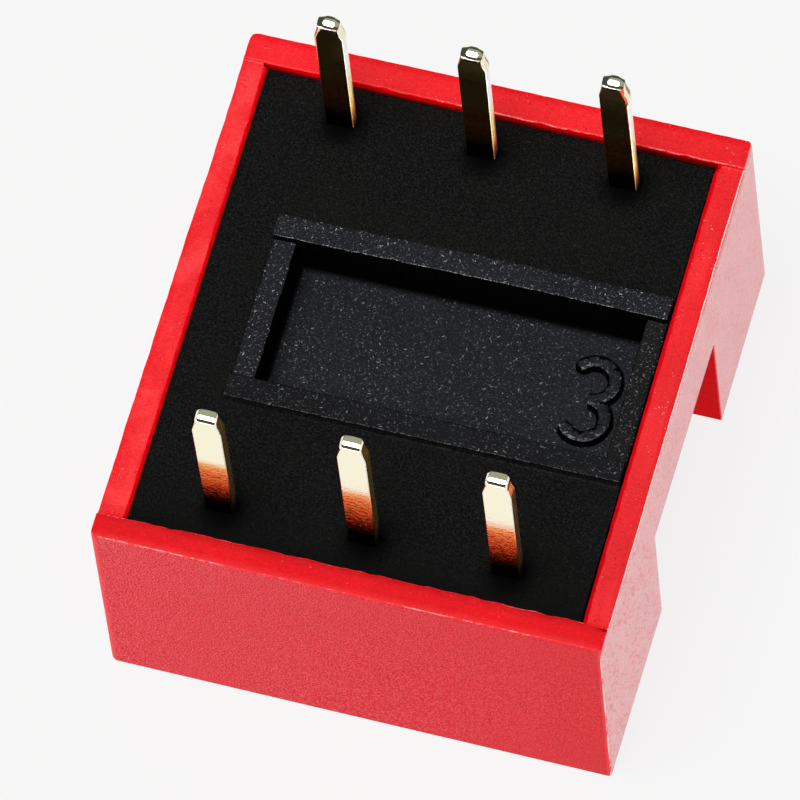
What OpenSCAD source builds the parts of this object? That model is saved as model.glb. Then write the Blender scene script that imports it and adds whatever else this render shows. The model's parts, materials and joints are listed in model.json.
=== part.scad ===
// Three-position slide DIP switch for through-hole mounting.
//
// It stands on the two rails of its slider side, with its solder pins up.
// X runs along the rows of pins, Y runs across them, and Z runs from the
// slider side to the pin tips. The origin is the middle of the footprint,
// on the plane of the rail faces. All sizes are in millimetres.
//
// Position 1 is at +X, so that the positions read 1, 2, 3 from left to right
// when the slider side is looked at with the ON rail at the top.

/* [Cover] */
// Length of the cover at the rail faces, along the rows of pins
cover_l = 9.2; // [9.2:0.05:9.7]
// Width of the cover at the rail faces, across the rows of pins
cover_w = 10.1; // [10:0.05:10.7]
// How far each end wall leans in, from the rail faces to the rim
end_draft = 0.1; // [0.02:0.01:0.14]
// How far each long wall leans in, from the rail faces to the rim
long_draft = 0.05; // [0.02:0.005:0.1]
// Height from the rail faces to the rim that sits on the board
cover_h = 5.15; // [5.05:0.05:5.5]
// Thickness of the two long walls at their foot, front and rear
long_wall = 0.55; // [0.5:0.01:0.65]
// Thickness of the two end walls at their foot
end_wall = 0.55; // [0.45:0.01:0.57]
// Width of the small chamfers on the four upright outer corners
corner_c = 0.09; // [0.04:0.01:0.16]
// How far the rims of the end walls lie below those of the long walls
end_rim_drop = 0.11; // [0.05:0.01:0.12]
// Width of the chamfer inside the rims of the end walls
rim_chamfer = 0.07; // [0.04:0.01:0.12]

/* [Slider trough] */
// Width of the trough between the two rails
trough_w = 3.78; // [3.6:0.02:3.9]
// Distance of the middle of the trough from the middle of the cover
trough_shift = 0.15; // [0:0.01:0.2]
// Height of the rails, from their faces to the floor of the trough
trough_h = 3; // [2.8:0.05:3]
// Thickness of the floor of the trough
trough_floor = 0.3; // [0.25:0.01:0.3]
// Thickness of the walls between the trough and the hollow rails
rail_wall = 0.45; // [0.35:0.01:0.5]
// Depth of the recessed figures on the rail faces
figure_depth = 0.06; // [0.03:0.01:0.12]

/* [Base] */
// How far the base lies below the rim
base_recess = 0.23; // [0.2:0.01:0.3]
// Gap between the base and the walls of the cover
base_gap = 0.03; // [0.02:0.005:0.05]
// Depth of the pocket below the rim
pocket_depth = 1; // [0.8:0.05:1]
// Width of the front and rear bars of the raised frame
long_bar_w = 0.44; // [0.36:0.01:0.48]
// Width of the end bars of the raised frame
end_bar_w = 0.38; // [0.32:0.01:0.42]
// How far the front and rear bars stand above the base
long_bar_h = 0.21; // [0.1:0.01:0.22]
// How far the end bars stand above the base
end_bar_h = 0.03; // [0.02:0.01:0.1]
// Height of the raised cavity number in the pocket
number_h = 0.18; // [0.06:0.01:0.2]

/* [Terminals] */
// Distance between neighbouring pins in a row
pitch = 2.54; // [2.54]
// Distance between the two rows of pins
row_spacing = 7.62; // [7.62]
// Width of a pin
pin_w = 0.51; // [0.44:0.01:0.52]
// Thickness of the terminal strip
strip_t = 0.25; // [0.2:0.01:0.25]
// Height of the pin tips above the rim
pin_out = 3.47; // [3:0.01:3.8]
// Length of the tapered end of a pin
tip_l = 0.45; // [0.3:0.01:0.6]
// Width of a pin at its tip
tip_w = 0.39; // [0.28:0.01:0.42]
// Width of the flat contact arm inside the switch
arm_w = 1.2; // [1:0.05:1.3]
// Clearance around a terminal in the base
pin_gap = 0.02; // [0.01:0.005:0.03]

/* [Sliders] */
// Travel of a slider from OFF to ON
travel = 1.6; // [1.4:0.05:1.6]
// Width of the knob
knob_w = 1.3; // [1.1:0.05:1.3]
// Length of the knob along its travel
knob_l = 1.35; // [1.2:0.05:1.35]
// How far the knob stands out from the floor of the trough
knob_h = 1.6; // [1:0.05:2]
// Depth of the two grooves across the face of the knob
groove_d = 0.1; // [0.04:0.01:0.14]
// Clearance between the knob and its slot
slot_gap = 0.05; // [0.03:0.01:0.07]
// Thickness of the sheet of the moving contacts
leaf_t = 0.08; // [0.06:0.01:0.08]

/* [Hidden] */
$fn = 48;
e = 0.01;

// Upright levels
rim_z = cover_h;
base_z = cover_h - base_recess;
tip_z = cover_h + pin_out;
pocket_z = cover_h - pocket_depth;
floor_z = trough_h + trough_floor;      // inner face of the trough floor
under_z = trough_h + 0.72;              // inner face of the base
arm_top_z = under_z + strip_t;

// Trough and hollow
trough_y0 = trough_shift - trough_w / 2;
trough_y1 = trough_shift + trough_w / 2;
in_x = cover_l / 2 - end_wall;
in_y = cover_w / 2 - long_wall;

// Raised frame and pocket of the base: low and high edges
frame_x0 = -3.04;
frame_x1 = 3.99;
frame_y0 = -1.87;
frame_y1 = 1.75;

// Slider positions: OFF is at low Y, and ON is at high Y
off_y = trough_shift - travel / 2;
slot_l = knob_l + travel + 2 * slot_gap;
flange_w = 1.9;
flange_l = 2.9;
flange_z0 = floor_z + 0.02;
flange_z1 = floor_z + 0.2;

// Moving contact: a flat leaf with one dimple on each side of the slider
leaf_w = 0.9;
leaf_z = flange_z1 + 0.01;
dimple_y = 1;
leaf_l = 2.3;

// Where the two contact arms of a position end
front_arm_y = 0.12;
rear_arm_y = 1.1;

// Position 1, 2 and 3 along X
pos_x = [pitch, 0, -pitch];
row_y = row_spacing / 2;

// How far each pin leans, in degrees, forwards (-Y) and to +X: each row lists
// positions 1, 2 and 3, and some of the pins are a little bent
front_lean = [[0.3, 0], [-0.6, -0.3], [1.3, 0.25]];
rear_lean = [[-1.1, -0.8], [-0.35, 0], [0, 0]];

cover_red = [0.86, 0.06, 0.08];
base_black = [0.05, 0.05, 0.055];
pin_gold = [0.9, 0.72, 0.38];
slider_white = [0.93, 0.93, 0.91];

// ---------------------------------------------------------------- helpers

// A box given by its low and high corners
module slab(x0, x1, y0, y1, z0, z1) {
    translate([x0, y0, z0]) cube([x1 - x0, y1 - y0, z1 - z0]);
}

// A bar along Y with two leaning sides: w0 wide at z = 0 and w1 wide at z = h
module leaning_bar(w0, w1, h, l) {
    translate([0, l / 2, 0]) rotate([90, 0, 0]) linear_extrude(l)
        polygon([[-w0 / 2, 0], [w0 / 2, 0], [w1 / 2, h], [-w1 / 2, h]]);
}

// The outside of the cover: its four walls and four corner chamfers lean in
module cover_block() {
    rim_l = cover_l - 2 * end_draft;
    rim_w = cover_w - 2 * long_draft;
    intersection() {
        leaning_bar(cover_l, rim_l, cover_h, 2 * cover_w);
        rotate([0, 0, 90]) leaning_bar(cover_w, rim_w, cover_h, 2 * cover_l);
        for (a = [45, -45])
            rotate([0, 0, a])
                leaning_bar((cover_l + cover_w - 2 * corner_c) / sqrt(2),
                            (rim_l + rim_w - 2 * corner_c) / sqrt(2),
                            cover_h, 3 * cover_w);
    }
}

// A straight stroke with round ends, from p to q
module stroke(p, q, w) {
    d = q - p;
    union() {
        translate(p) circle(w / 2);
        translate(q) circle(w / 2);
        translate(p) rotate(atan2(d[1], d[0]))
            translate([0, -w / 2]) square([norm(d), w]);
    }
}

// Part of a ring with round ends, from angle a0 to a1 (less than 350 apart)
module ring_arc(r, w, a0, a1) {
    union() {
        difference() {
            circle(r + w / 2);
            circle(r - w / 2);
            polygon(concat([[0, 0]],
                [for (k = [0 : 6])
                    3 * (r + w) * [cos(a1 + k * (360 - a1 + a0) / 6),
                                   sin(a1 + k * (360 - a1 + a0) / 6)]]));
        }
        for (a = [a0, a1]) translate(r * [cos(a), sin(a)]) circle(w / 2);
    }
}

// Plain figures, 2 h high, centred on the origin
module fig_1(h, w) {
    stroke([0, -h], [0, h], w);
    stroke([0, h], [-0.35 * h, 0.66 * h], w);
}

module fig_2(h, w) {
    r = 0.5 * h;
    translate([0, h - r]) ring_arc(r, w, -35, 165);
    stroke([r * cos(35), h - r - r * sin(35)], [-0.52 * h, -h], w);
    stroke([-0.52 * h, -h], [0.52 * h, -h], w);
}

module fig_3(h, w) {
    r = 0.5 * h;
    translate([0, h - r]) ring_arc(r, w, -90, 140);
    translate([0, r - h]) ring_arc(r, w, -140, 90);
}

module fig_on(h, w) {
    translate([-0.75 * h, 0]) difference() {
        circle(0.92 * h + w / 2 - 0.05);
        circle(0.92 * h - w / 2 - 0.05);
    }
    translate([1.05 * h, 0]) {
        stroke([-0.5 * h, -h + w / 2], [-0.5 * h, h - w / 2], w);
        stroke([-0.5 * h, h - w / 2], [0.5 * h, -h + w / 2], w);
        stroke([0.5 * h, -h + w / 2], [0.5 * h, h - w / 2], w);
    }
}

// A figure cut upwards into a face at z = 0 that is read from below
module cut_below(x, y, depth) {
    translate([x, y, -e]) linear_extrude(depth + e) mirror([1, 0]) children();
}

// ------------------------------------------------------------------ cover

// Red shell, open on the side of the pins, with a trough for the sliders
module cover() {
    color(cover_red)
    difference() {
        cover_block();
        // room for the base
        slab(-in_x, in_x, -in_y, in_y, floor_z, cover_h + 1);
        // the hollow of the front and of the rear rail
        slab(-in_x, in_x, -in_y, trough_y0 - rail_wall, 0.5, cover_h + 1);
        slab(-in_x, in_x, trough_y1 + rail_wall, in_y, 0.5, cover_h + 1);
        // lower rims of the end walls, chamfered inside
        for (m = [0, 1]) mirror([m, 0]) {
            slab(in_x - e, cover_l, -in_y, in_y, cover_h - end_rim_drop, cover_h + 1);
            translate([0, in_y, cover_h - end_rim_drop]) rotate([90, 0, 0])
                linear_extrude(2 * in_y)
                    polygon([[in_x - e, -rim_chamfer - e], [in_x + rim_chamfer + e, e],
                             [in_x - e, e]]);
        }
        // trough, open at both ends
        slab(-cover_l, cover_l, trough_y0, trough_y1, -1, trough_h);
        // slots of the knobs
        for (x = pos_x)
            slab(x - knob_w / 2 - slot_gap, x + knob_w / 2 + slot_gap,
                 trough_shift - slot_l / 2, trough_shift + slot_l / 2,
                 trough_h - 1, floor_z + 1);
        // position numbers on the front rail and ON on the rear rail
        cut_below(pos_x[0], -3.37, figure_depth) fig_1(0.72, 0.24);
        cut_below(pos_x[1], -3.37, figure_depth) fig_2(0.72, 0.24);
        cut_below(pos_x[2], -3.37, figure_depth) fig_3(0.72, 0.24);
        cut_below(0, 3.52, figure_depth) fig_on(0.66, 0.24);
    }
}

// ------------------------------------------------------------------- base

// Groove and hole for one terminal; s is -1 for the front row, 1 for the rear
module terminal_seat(x, s) {
    g = pin_gap;
    y_in = s < 0 ? front_arm_y : rear_arm_y;
    y_out = s * (row_y + strip_t / 2 + g);
    ya = s < 0 ? y_out : y_in - g;
    yb = s < 0 ? y_in + g : y_out;
    slab(x - arm_w / 2 - g, x + arm_w / 2 + g, ya, yb,
         under_z - 1, arm_top_z + g);
    slab(x - pin_w / 2 - g, x + pin_w / 2 + g,
         s * row_y - strip_t / 2 - g, s * row_y + strip_t / 2 + g,
         under_z - 1, base_z + 1);
}

// Black plate that closes the cover and carries the terminals
module base() {
    bx = in_x - base_gap;
    by = in_y - base_gap;
    px0 = frame_x0 + end_bar_w;
    px1 = frame_x1 - end_bar_w;
    py0 = frame_y0 + long_bar_w;
    py1 = frame_y1 - long_bar_w;
    color(base_black) {
        difference() {
            union() {
                slab(-bx, bx, -by, by, under_z, base_z);
                // raised frame: long bars, then the slightly lower end bars
                slab(frame_x0, frame_x1, frame_y0, py0, base_z - e, base_z + long_bar_h);
                slab(frame_x0, frame_x1, py1, frame_y1, base_z - e, base_z + long_bar_h);
                slab(frame_x0, px0, py0 - e, py1 + e, base_z - e, base_z + end_bar_h);
                slab(px1, frame_x1, py0 - e, py1 + e, base_z - e, base_z + end_bar_h);
                // ribs between the three cells
                for (x = [-0.5, 0.5])
                    slab(x * pitch - 0.2, x * pitch + 0.2, -2.2, 2.5,
                         floor_z + 0.03, under_z + e);
                // skirts that locate the base in the hollow rails
                slab(-in_x + 0.1, in_x - 0.1, -3.3, -2.7, 0.7, under_z + e);
                slab(-in_x + 0.1, in_x - 0.1, 3, 3.6, 0.7, under_z + e);
            }
            slab(px0, px1, py0, py1, pocket_z, base_z + 1);
            for (x = pos_x, s = [-1, 1]) terminal_seat(x, s);
        }
        // raised cavity number
        translate([2.93, -0.05, pocket_z - e])
            linear_extrude(number_h + e) fig_3(0.73, 0.24);
    }
}

// -------------------------------------------------------------- terminals

// The part of a pin above the base, upright, with its foot at the origin
module pin_blade(l) {
    intersection() {
        translate([0, strip_t / 2, 0]) rotate([90, 0, 0])
            linear_extrude(strip_t)
                polygon([[-pin_w / 2, -0.15], [pin_w / 2, -0.15],
                         [pin_w / 2, l - tip_l], [tip_w / 2, l - 0.05],
                         [tip_w / 2 - 0.04, l], [-tip_w / 2 + 0.04, l],
                         [-tip_w / 2, l - 0.05], [-pin_w / 2, l - tip_l]]);
        rotate([90, 0, 90]) translate([0, 0, -1])
            linear_extrude(2)
                polygon([[-strip_t / 2, -0.15], [strip_t / 2, -0.15],
                         [strip_t / 2, l - 0.06], [strip_t / 2 - 0.03, l],
                         [-strip_t / 2 + 0.03, l], [-strip_t / 2, l - 0.06]]);
    }
}

// One terminal: a pin that is bent inwards into a flat contact arm.
// s is -1 in the front row and 1 in the rear row; lean is [forwards, to +X].
module terminal(x, s, lean) {
    y_in = s < 0 ? front_arm_y : rear_arm_y;
    arm_l = s < 0 ? row_y + y_in : row_y - y_in;
    color(pin_gold)
    translate([x, s * row_y, 0]) {
        union() {
            // blade above the base
            translate([0, 0, base_z]) rotate([lean[0], lean[1], 0])
                pin_blade(tip_z - base_z);
            // shank through the base, with its edges a little broken
            slab(-pin_w / 2 + e, pin_w / 2 - e, -strip_t / 2 + e, strip_t / 2 - e,
                 under_z + strip_t / 2, base_z - 0.05);
            // bend and contact arm
            translate([-arm_w / 2, 0, under_z + strip_t / 2]) rotate([0, 90, 0])
                cylinder(d = strip_t, h = arm_w);
            if (s < 0)
                slab(-arm_w / 2, arm_w / 2, 0, arm_l, under_z, arm_top_z);
            else
                slab(-arm_w / 2, arm_w / 2, -arm_l, 0, under_z, arm_top_z);
        }
    }
}

// ---------------------------------------------------------------- sliders

// White slider: a flange inside the cover and a knob that comes out of the
// slot, with its face chamfered and grooved for grip
module slider(x) {
    c = 0.12;
    zt = trough_h - knob_h;
    color(slider_white)
    translate([x, off_y, 0]) {
        union() {
            slab(-flange_w / 2, flange_w / 2, -flange_l / 2, flange_l / 2,
                 flange_z0, flange_z1);
            // boss that holds the moving contact
            translate([0, 0, flange_z1 - e]) cylinder(d = 0.4, h = 0.09 + e);
            difference() {
                intersection() {
                    rotate([90, 0, 0]) translate([0, 0, -knob_l / 2])
                        linear_extrude(knob_l)
                            polygon([[-knob_w / 2, flange_z0 + e], [-knob_w / 2, zt + c],
                                     [-knob_w / 2 + c, zt], [knob_w / 2 - c, zt],
                                     [knob_w / 2, zt + c], [knob_w / 2, flange_z0 + e]]);
                    rotate([90, 0, 90]) translate([0, 0, -knob_w / 2])
                        linear_extrude(knob_w)
                            polygon([[-knob_l / 2, flange_z0 + e], [-knob_l / 2, zt + c],
                                     [-knob_l / 2 + c, zt], [knob_l / 2 - c, zt],
                                     [knob_l / 2, zt + c], [knob_l / 2, flange_z0 + e]]);
                }
                // grip grooves across the face
                for (y = [-0.26, 0.26])
                    slab(-knob_w, knob_w, y - 0.1, y + 0.1, zt - 1, zt + groove_d);
            }
        }
    }
}

// --------------------------------------------------------- moving contacts

// Bridging leaf: it lies on the flange of its slider, and its two raised ends
// rub on the contact arms
module contact(x) {
    lift = under_z - leaf_z - leaf_t - 0.02;   // rise of the raised ends
    h = leaf_l / 2;
    color(pin_gold)
    translate([x, off_y, leaf_z])
    difference() {
        rotate([90, 0, 90]) translate([0, 0, -leaf_w / 2])
            linear_extrude(leaf_w)
                polygon([[-h, lift - 0.04], [-dimple_y - 0.05, lift], [-dimple_y + 0.05, lift],
                         [-0.45, 0], [0.45, 0],
                         [dimple_y - 0.05, lift], [dimple_y + 0.05, lift], [h, lift - 0.04],
                         [h, lift - 0.04 + leaf_t], [dimple_y + 0.05, lift + leaf_t],
                         [dimple_y - 0.05, lift + leaf_t], [0.45, leaf_t], [-0.45, leaf_t],
                         [-dimple_y + 0.05, lift + leaf_t], [-dimple_y - 0.05, lift + leaf_t],
                         [-h, lift - 0.04 + leaf_t]]);
        translate([0, 0, -1]) cylinder(d = 0.46, h = 2);
    }
}

cover();
base();
terminal(pos_x[0], -1, front_lean[0]);  // terminal_1_front
terminal(pos_x[1], -1, front_lean[1]);  // terminal_2_front
terminal(pos_x[2], -1, front_lean[2]);  // terminal_3_front
terminal(pos_x[0], 1, rear_lean[0]);  // terminal_1_rear
terminal(pos_x[1], 1, rear_lean[1]);  // terminal_2_rear
terminal(pos_x[2], 1, rear_lean[2]);  // terminal_3_rear
slider(pos_x[0]);  // slider_1
slider(pos_x[1]);  // slider_2
slider(pos_x[2]);  // slider_3
contact(pos_x[0]);  // contact_1
contact(pos_x[1]);  // contact_2
contact(pos_x[2]);  // contact_3
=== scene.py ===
import json
import math

import bmesh
import bpy
import numpy as np
from mathutils import Matrix, Vector, noise

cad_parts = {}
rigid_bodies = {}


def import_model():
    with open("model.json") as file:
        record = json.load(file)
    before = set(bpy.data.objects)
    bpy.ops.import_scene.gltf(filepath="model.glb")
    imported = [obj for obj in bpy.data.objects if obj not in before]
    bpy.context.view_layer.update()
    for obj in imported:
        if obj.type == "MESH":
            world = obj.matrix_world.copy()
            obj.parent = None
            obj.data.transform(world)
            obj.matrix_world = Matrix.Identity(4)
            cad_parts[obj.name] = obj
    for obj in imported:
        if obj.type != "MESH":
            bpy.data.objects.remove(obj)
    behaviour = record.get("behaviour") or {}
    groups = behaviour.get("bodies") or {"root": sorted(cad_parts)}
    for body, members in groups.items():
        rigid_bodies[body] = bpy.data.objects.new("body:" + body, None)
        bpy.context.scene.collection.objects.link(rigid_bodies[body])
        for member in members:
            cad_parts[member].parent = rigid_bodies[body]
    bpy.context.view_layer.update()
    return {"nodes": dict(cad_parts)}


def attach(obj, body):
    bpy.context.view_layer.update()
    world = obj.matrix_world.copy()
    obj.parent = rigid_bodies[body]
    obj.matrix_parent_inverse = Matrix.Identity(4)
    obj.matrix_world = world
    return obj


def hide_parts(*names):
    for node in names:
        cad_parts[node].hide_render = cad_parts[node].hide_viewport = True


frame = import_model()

MM = 0.001
BODY = "housing"
scene = bpy.context.scene
scene.view_settings.view_transform = "Standard"
scene.view_settings.look = "None"

# ------------------------------------------------------------------ sizes, mm
H = 5.15                      # rim of the long walls
END_RIM = H - 0.11            # rim of the end walls
BASE = H - 0.23
POCKET = H - 1.0
IN_X, IN_Y = 4.05, 4.50
TROUGH = (-1.74, 2.04)
TROUGH_Z, FLOOR_Z, UNDER_Z = 3.0, 3.3, 3.72
PITCH, ROW = 2.54, 3.81
POS_X = (PITCH, 0.0, -PITCH)
OFF_Y = 0.15 - 0.8
TIP = H + 3.47


# ------------------------------------------------------------------- camera
def make_camera():
    cam = bpy.data.cameras.new("camera")
    cam.sensor_fit = "HORIZONTAL"
    cam.sensor_width = 36.0
    cam.lens = 568.6
    cam.clip_start, cam.clip_end = 0.01, 10.0
    ob = bpy.data.objects.new("camera", cam)
    scene.collection.objects.link(ob)
    right = Vector((0.96222, 0.26654, -0.05557)).normalized()
    back = Vector((0.16395, -0.40427, 0.89983)).normalized()
    up = back.cross(right).normalized()
    right = up.cross(back)
    m = Matrix((right, up, back)).transposed().to_4x4()
    m.translation = Vector((35.444, -88.810, 200.045)) * MM
    ob.matrix_world = m
    scene.camera = ob


make_camera()


# ------------------------------------------------------------ mesh utilities
def lines(breaks, step):
    """Grid lines at every break, with the stretches between them cut evenly."""
    breaks = sorted(set(round(b, 5) for b in breaks))
    out = [breaks[0]]
    for a, b in zip(breaks, breaks[1:]):
        n = max(1, int(math.ceil((b - a) / step - 1e-6)))
        out += [a + (b - a) * k / n for k in range(1, n + 1)]
    return np.array(out)


def grid_solid(xs, ys, zs, solid):
    """Closed quad mesh round the grid cells whose centre is solid."""
    xc, yc, zc = ((a[1:] + a[:-1]) / 2 for a in (xs, ys, zs))
    X, Y, Z = np.meshgrid(xc, yc, zc, indexing="ij")
    S = np.pad(solid(X, Y, Z), 1)
    ny, nz = len(ys), len(zs)

    def vid(i, j, k):
        return (i * ny + j) * nz + k

    quads = []
    for axis in range(3):
        a = np.moveaxis(S, axis, 0)
        lo, hi = a[:-1], a[1:]
        for sign, mask in ((1, lo & ~hi), (-1, ~lo & hi)):
            p, q, r = np.nonzero(mask)
            q, r = q - 1, r - 1            # padding
            c = [(q, r), (q + 1, r), (q + 1, r + 1), (q, r + 1)]
            if axis == 1:
                c = c[::-1]
            if sign < 0:
                c = c[::-1]
            ids = []
            for u, v in c:
                ijk = {0: (p, u, v), 1: (u, p, v), 2: (u, v, p)}[axis]
                ids.append(vid(*ijk))
            quads.append(np.stack(ids, 1))
    quads = np.concatenate(quads)
    used, inv = np.unique(quads, return_inverse=True)
    inv = inv.reshape(quads.shape)
    i, rem = np.divmod(used, ny * nz)
    j, k = np.divmod(rem, nz)
    verts = np.stack([xs[i], ys[j], zs[k]], 1)
    return verts, inv


def to_bmesh(verts, faces):
    me = bpy.data.meshes.new("tmp")
    me.from_pydata([tuple(v) for v in verts], [], [tuple(int(i) for i in f) for f in faces])
    bm = bmesh.new()
    bm.from_mesh(me)
    bpy.data.meshes.remove(me)
    bmesh.ops.recalc_face_normals(bm, faces=bm.faces)
    return bm


def sharp_edges(bm, angle=0.6):
    return [e for e in bm.edges if len(e.link_faces) == 2 and e.calc_face_angle(0.0) > angle]


def bevel(bm, edges, width, segments):
    bmesh.ops.bevel(bm, geom=edges, offset=width, offset_type="OFFSET", segments=segments,
                    profile=0.5, affect="EDGES", clamp_overlap=True)


def co_array(bm):
    return np.array([v.co[:] for v in bm.verts])


def set_co(bm, co):
    for v, c in zip(bm.verts, co):
        v.co = c


def weigh(ob, weight=85):
    w = ob.modifiers.new("normals", "WEIGHTED_NORMAL")
    w.weight = weight
    w.keep_sharp = False


def finish_object(name, bm, body, materials, weighted=True):
    """bm is in millimetres in the row frame."""
    bmesh.ops.scale(bm, vec=(MM, MM, MM), verts=bm.verts)
    me = bpy.data.meshes.new(name)
    bm.to_mesh(me)
    bm.free()
    ob = bpy.data.objects.new(name, me)
    scene.collection.objects.link(ob)
    me.shade_smooth()
    for m in materials:
        me.materials.append(m)
    if weighted:
        weigh(ob)
    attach(ob, body)
    return ob


def smoothstep(a, b, x):
    t = np.clip((x - a) / (b - a), 0, 1)
    return t * t * (3 - 2 * t)


def fbm(co, scale, seed=0.0, octaves=2):
    """Noise in -1..1 for each row of co, in millimetres."""
    out = np.zeros(len(co))
    for n, c in enumerate(co):
        p = Vector(c) * scale + Vector((seed, seed * 1.7, seed * 0.3))
        s, f, a = 0.0, 1.0, 1.0
        for _ in range(octaves):
            s += a * noise.noise(p * f)
            f *= 2.1
            a *= 0.5
        out[n] = s
    return out


# ---------------------------------------------------------------- materials
def new_material(name):
    m = bpy.data.materials.new(name)
    m.use_nodes = True
    nt = m.node_tree
    for n in list(nt.nodes):
        nt.nodes.remove(n)
    out = nt.nodes.new("ShaderNodeOutputMaterial")
    bsdf = nt.nodes.new("ShaderNodeBsdfPrincipled")
    nt.links.new(bsdf.outputs[0], out.inputs[0])
    return m, nt, bsdf


class N:
    """Small helper to write node trees."""

    def __init__(self, nt):
        self.nt = nt
        self.obj = nt.nodes.new("ShaderNodeTexCoord").outputs["Object"]

    def link(self, a, b):
        self.nt.links.new(a, b)

    def put(self, sock, v):
        if isinstance(v, bpy.types.NodeSocket):
            self.link(v, sock)
        elif v is not None:
            sock.default_value = v

    def mapping(self, scale, rot=(0, 0, 0), loc=(0, 0, 0)):
        n = self.nt.nodes.new("ShaderNodeMapping")
        self.link(self.obj, n.inputs["Vector"])
        n.inputs["Scale"].default_value = scale
        n.inputs["Rotation"].default_value = rot
        n.inputs["Location"].default_value = loc
        return n.outputs[0]

    def noise(self, vec, scale, detail=2.0, rough=0.5, distortion=0.0, color=False):
        n = self.nt.nodes.new("ShaderNodeTexNoise")
        self.link(vec, n.inputs["Vector"])
        n.inputs["Scale"].default_value = scale
        n.inputs["Detail"].default_value = detail
        n.inputs["Roughness"].default_value = rough
        n.inputs["Distortion"].default_value = distortion
        return n.outputs["Color" if color else "Fac"]

    def voronoi(self, vec, scale, feature="F1", out="Distance", rand=1.0):
        n = self.nt.nodes.new("ShaderNodeTexVoronoi")
        n.feature = feature
        self.link(vec, n.inputs["Vector"])
        n.inputs["Scale"].default_value = scale
        n.inputs["Randomness"].default_value = rand
        return n.outputs[out]

    def ramp(self, fac, stops, interp="LINEAR"):
        n = self.nt.nodes.new("ShaderNodeValToRGB")
        n.color_ramp.interpolation = interp
        el = n.color_ramp.elements
        while len(el) < len(stops):
            el.new(0.5)
        for e, (p, c) in zip(el, stops):
            e.position = p
            e.color = (c, c, c, 1) if not isinstance(c, tuple) else (*c, 1)
        self.link(fac, n.inputs[0])
        return n.outputs[0]

    def math(self, op, a, b=None, c=None, clamp=False):
        n = self.nt.nodes.new("ShaderNodeMath")
        n.operation = op
        n.use_clamp = clamp
        self.put(n.inputs[0], a)
        self.put(n.inputs[1], b)
        self.put(n.inputs[2], c)
        return n.outputs[0]

    def mix(self, fac, a, b, mode="MIX"):
        n = self.nt.nodes.new("ShaderNodeMix")
        n.data_type = "RGBA"
        n.blend_type = mode
        self.put(n.inputs[0], fac)
        for sock, v in ((n.inputs[6], a), (n.inputs[7], b)):
            self.put(sock, (*v, 1) if isinstance(v, tuple) and len(v) == 3 else v)
        return n.outputs[2]

    def sep(self, vec):
        s = self.nt.nodes.new("ShaderNodeSeparateXYZ")
        self.link(vec, s.inputs[0])
        return s.outputs[0], s.outputs[1], s.outputs[2]

    def mixf(self, fac, a, b):
        n = self.nt.nodes.new("ShaderNodeMix")
        n.data_type = "FLOAT"
        self.put(n.inputs[0], fac)
        self.put(n.inputs[2], a)
        self.put(n.inputs[3], b)
        return n.outputs[0]

    def warp(self, vec, scale, amount):
        """vec moved about by a coloured noise, by up to amount metres."""
        c = self.noise(vec, scale, 2, 0.5, 0.0, True)
        sub = self.nt.nodes.new("ShaderNodeVectorMath")
        sub.operation = "SUBTRACT"
        self.link(c, sub.inputs[0])
        sub.inputs[1].default_value = (0.5, 0.5, 0.5)
        mul = self.nt.nodes.new("ShaderNodeVectorMath")
        mul.operation = "SCALE"
        self.link(sub.outputs[0], mul.inputs[0])
        mul.inputs["Scale"].default_value = amount * 2
        add = self.nt.nodes.new("ShaderNodeVectorMath")
        self.link(vec, add.inputs[0])
        self.link(mul.outputs[0], add.inputs[1])
        return add.outputs[0]

    def attr(self, name):
        n = self.nt.nodes.new("ShaderNodeAttribute")
        n.attribute_name = name
        return n.outputs["Fac"]

    def normal(self):
        n = self.nt.nodes.new("ShaderNodeNewGeometry")
        s = self.nt.nodes.new("ShaderNodeSeparateXYZ")
        self.link(n.outputs["True Normal"], s.inputs[0])
        return s.outputs

    def bump(self, height, distance, strength=1.0, normal=None):
        n = self.nt.nodes.new("ShaderNodeBump")
        n.inputs["Distance"].default_value = distance
        n.inputs["Strength"].default_value = strength
        self.link(height, n.inputs["Height"])
        if normal is not None:
            self.link(normal, n.inputs["Normal"])
        return n.outputs[0]

    def times(self, *socks):
        out = socks[0]
        for s in socks[1:]:
            out = self.math("MULTIPLY", out, s)
        return out

    def strokes(self, scale, length, width, turn, spread, share, bow=0.5, plane=(0, 1), shift=0.0):
        """Short bowed marks in a plane, at most one per cell: 0 beside them, up to 1 on them."""
        vec = self.mapping((1, 1, 1), (0, 0, 0), (shift, shift * 1.3, shift * 0.7))
        v = self.nt.nodes.new("ShaderNodeTexVoronoi")
        self.link(vec, v.inputs["Vector"])
        v.inputs["Scale"].default_value = scale
        sub = self.nt.nodes.new("ShaderNodeVectorMath")
        sub.operation = "SUBTRACT"
        self.link(vec, sub.inputs[0])
        self.link(v.outputs["Position"], sub.inputs[1])
        d = self.sep(sub.outputs[0])
        col = self.nt.nodes.new("ShaderNodeSeparateColor")
        self.link(v.outputs["Color"], col.inputs[0])
        r, g, b = col.outputs[0], col.outputs[1], col.outputs[2]
        angle = self.math("MULTIPLY_ADD", r, 2 * spread, turn - spread)
        c, s = self.math("COSINE", angle), self.math("SINE", angle)
        p, q = d[plane[0]], d[plane[1]]
        along = self.math("ADD", self.times(p, c), self.times(q, s))
        across = self.math("SUBTRACT", self.times(q, c), self.times(p, s))
        k = self.math("MULTIPLY_ADD", g, 4 * bow / length, -2 * bow / length)
        across = self.math("SUBTRACT", across, self.times(k, along, along))
        on = self.math("MULTIPLY_ADD", self.math("ABSOLUTE", across), -1 / width, 1.5, clamp=True)
        end = self.math("MULTIPLY_ADD", self.math("ABSOLUTE", along), -4 / length, 4.0, clamp=True)
        pick = self.math("MULTIPLY_ADD", b, 1 / max(share, 0.01), 1 - 1 / max(share, 0.01), clamp=True)
        return self.times(on, end, self.math("POWER", pick, 0.6))


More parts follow.
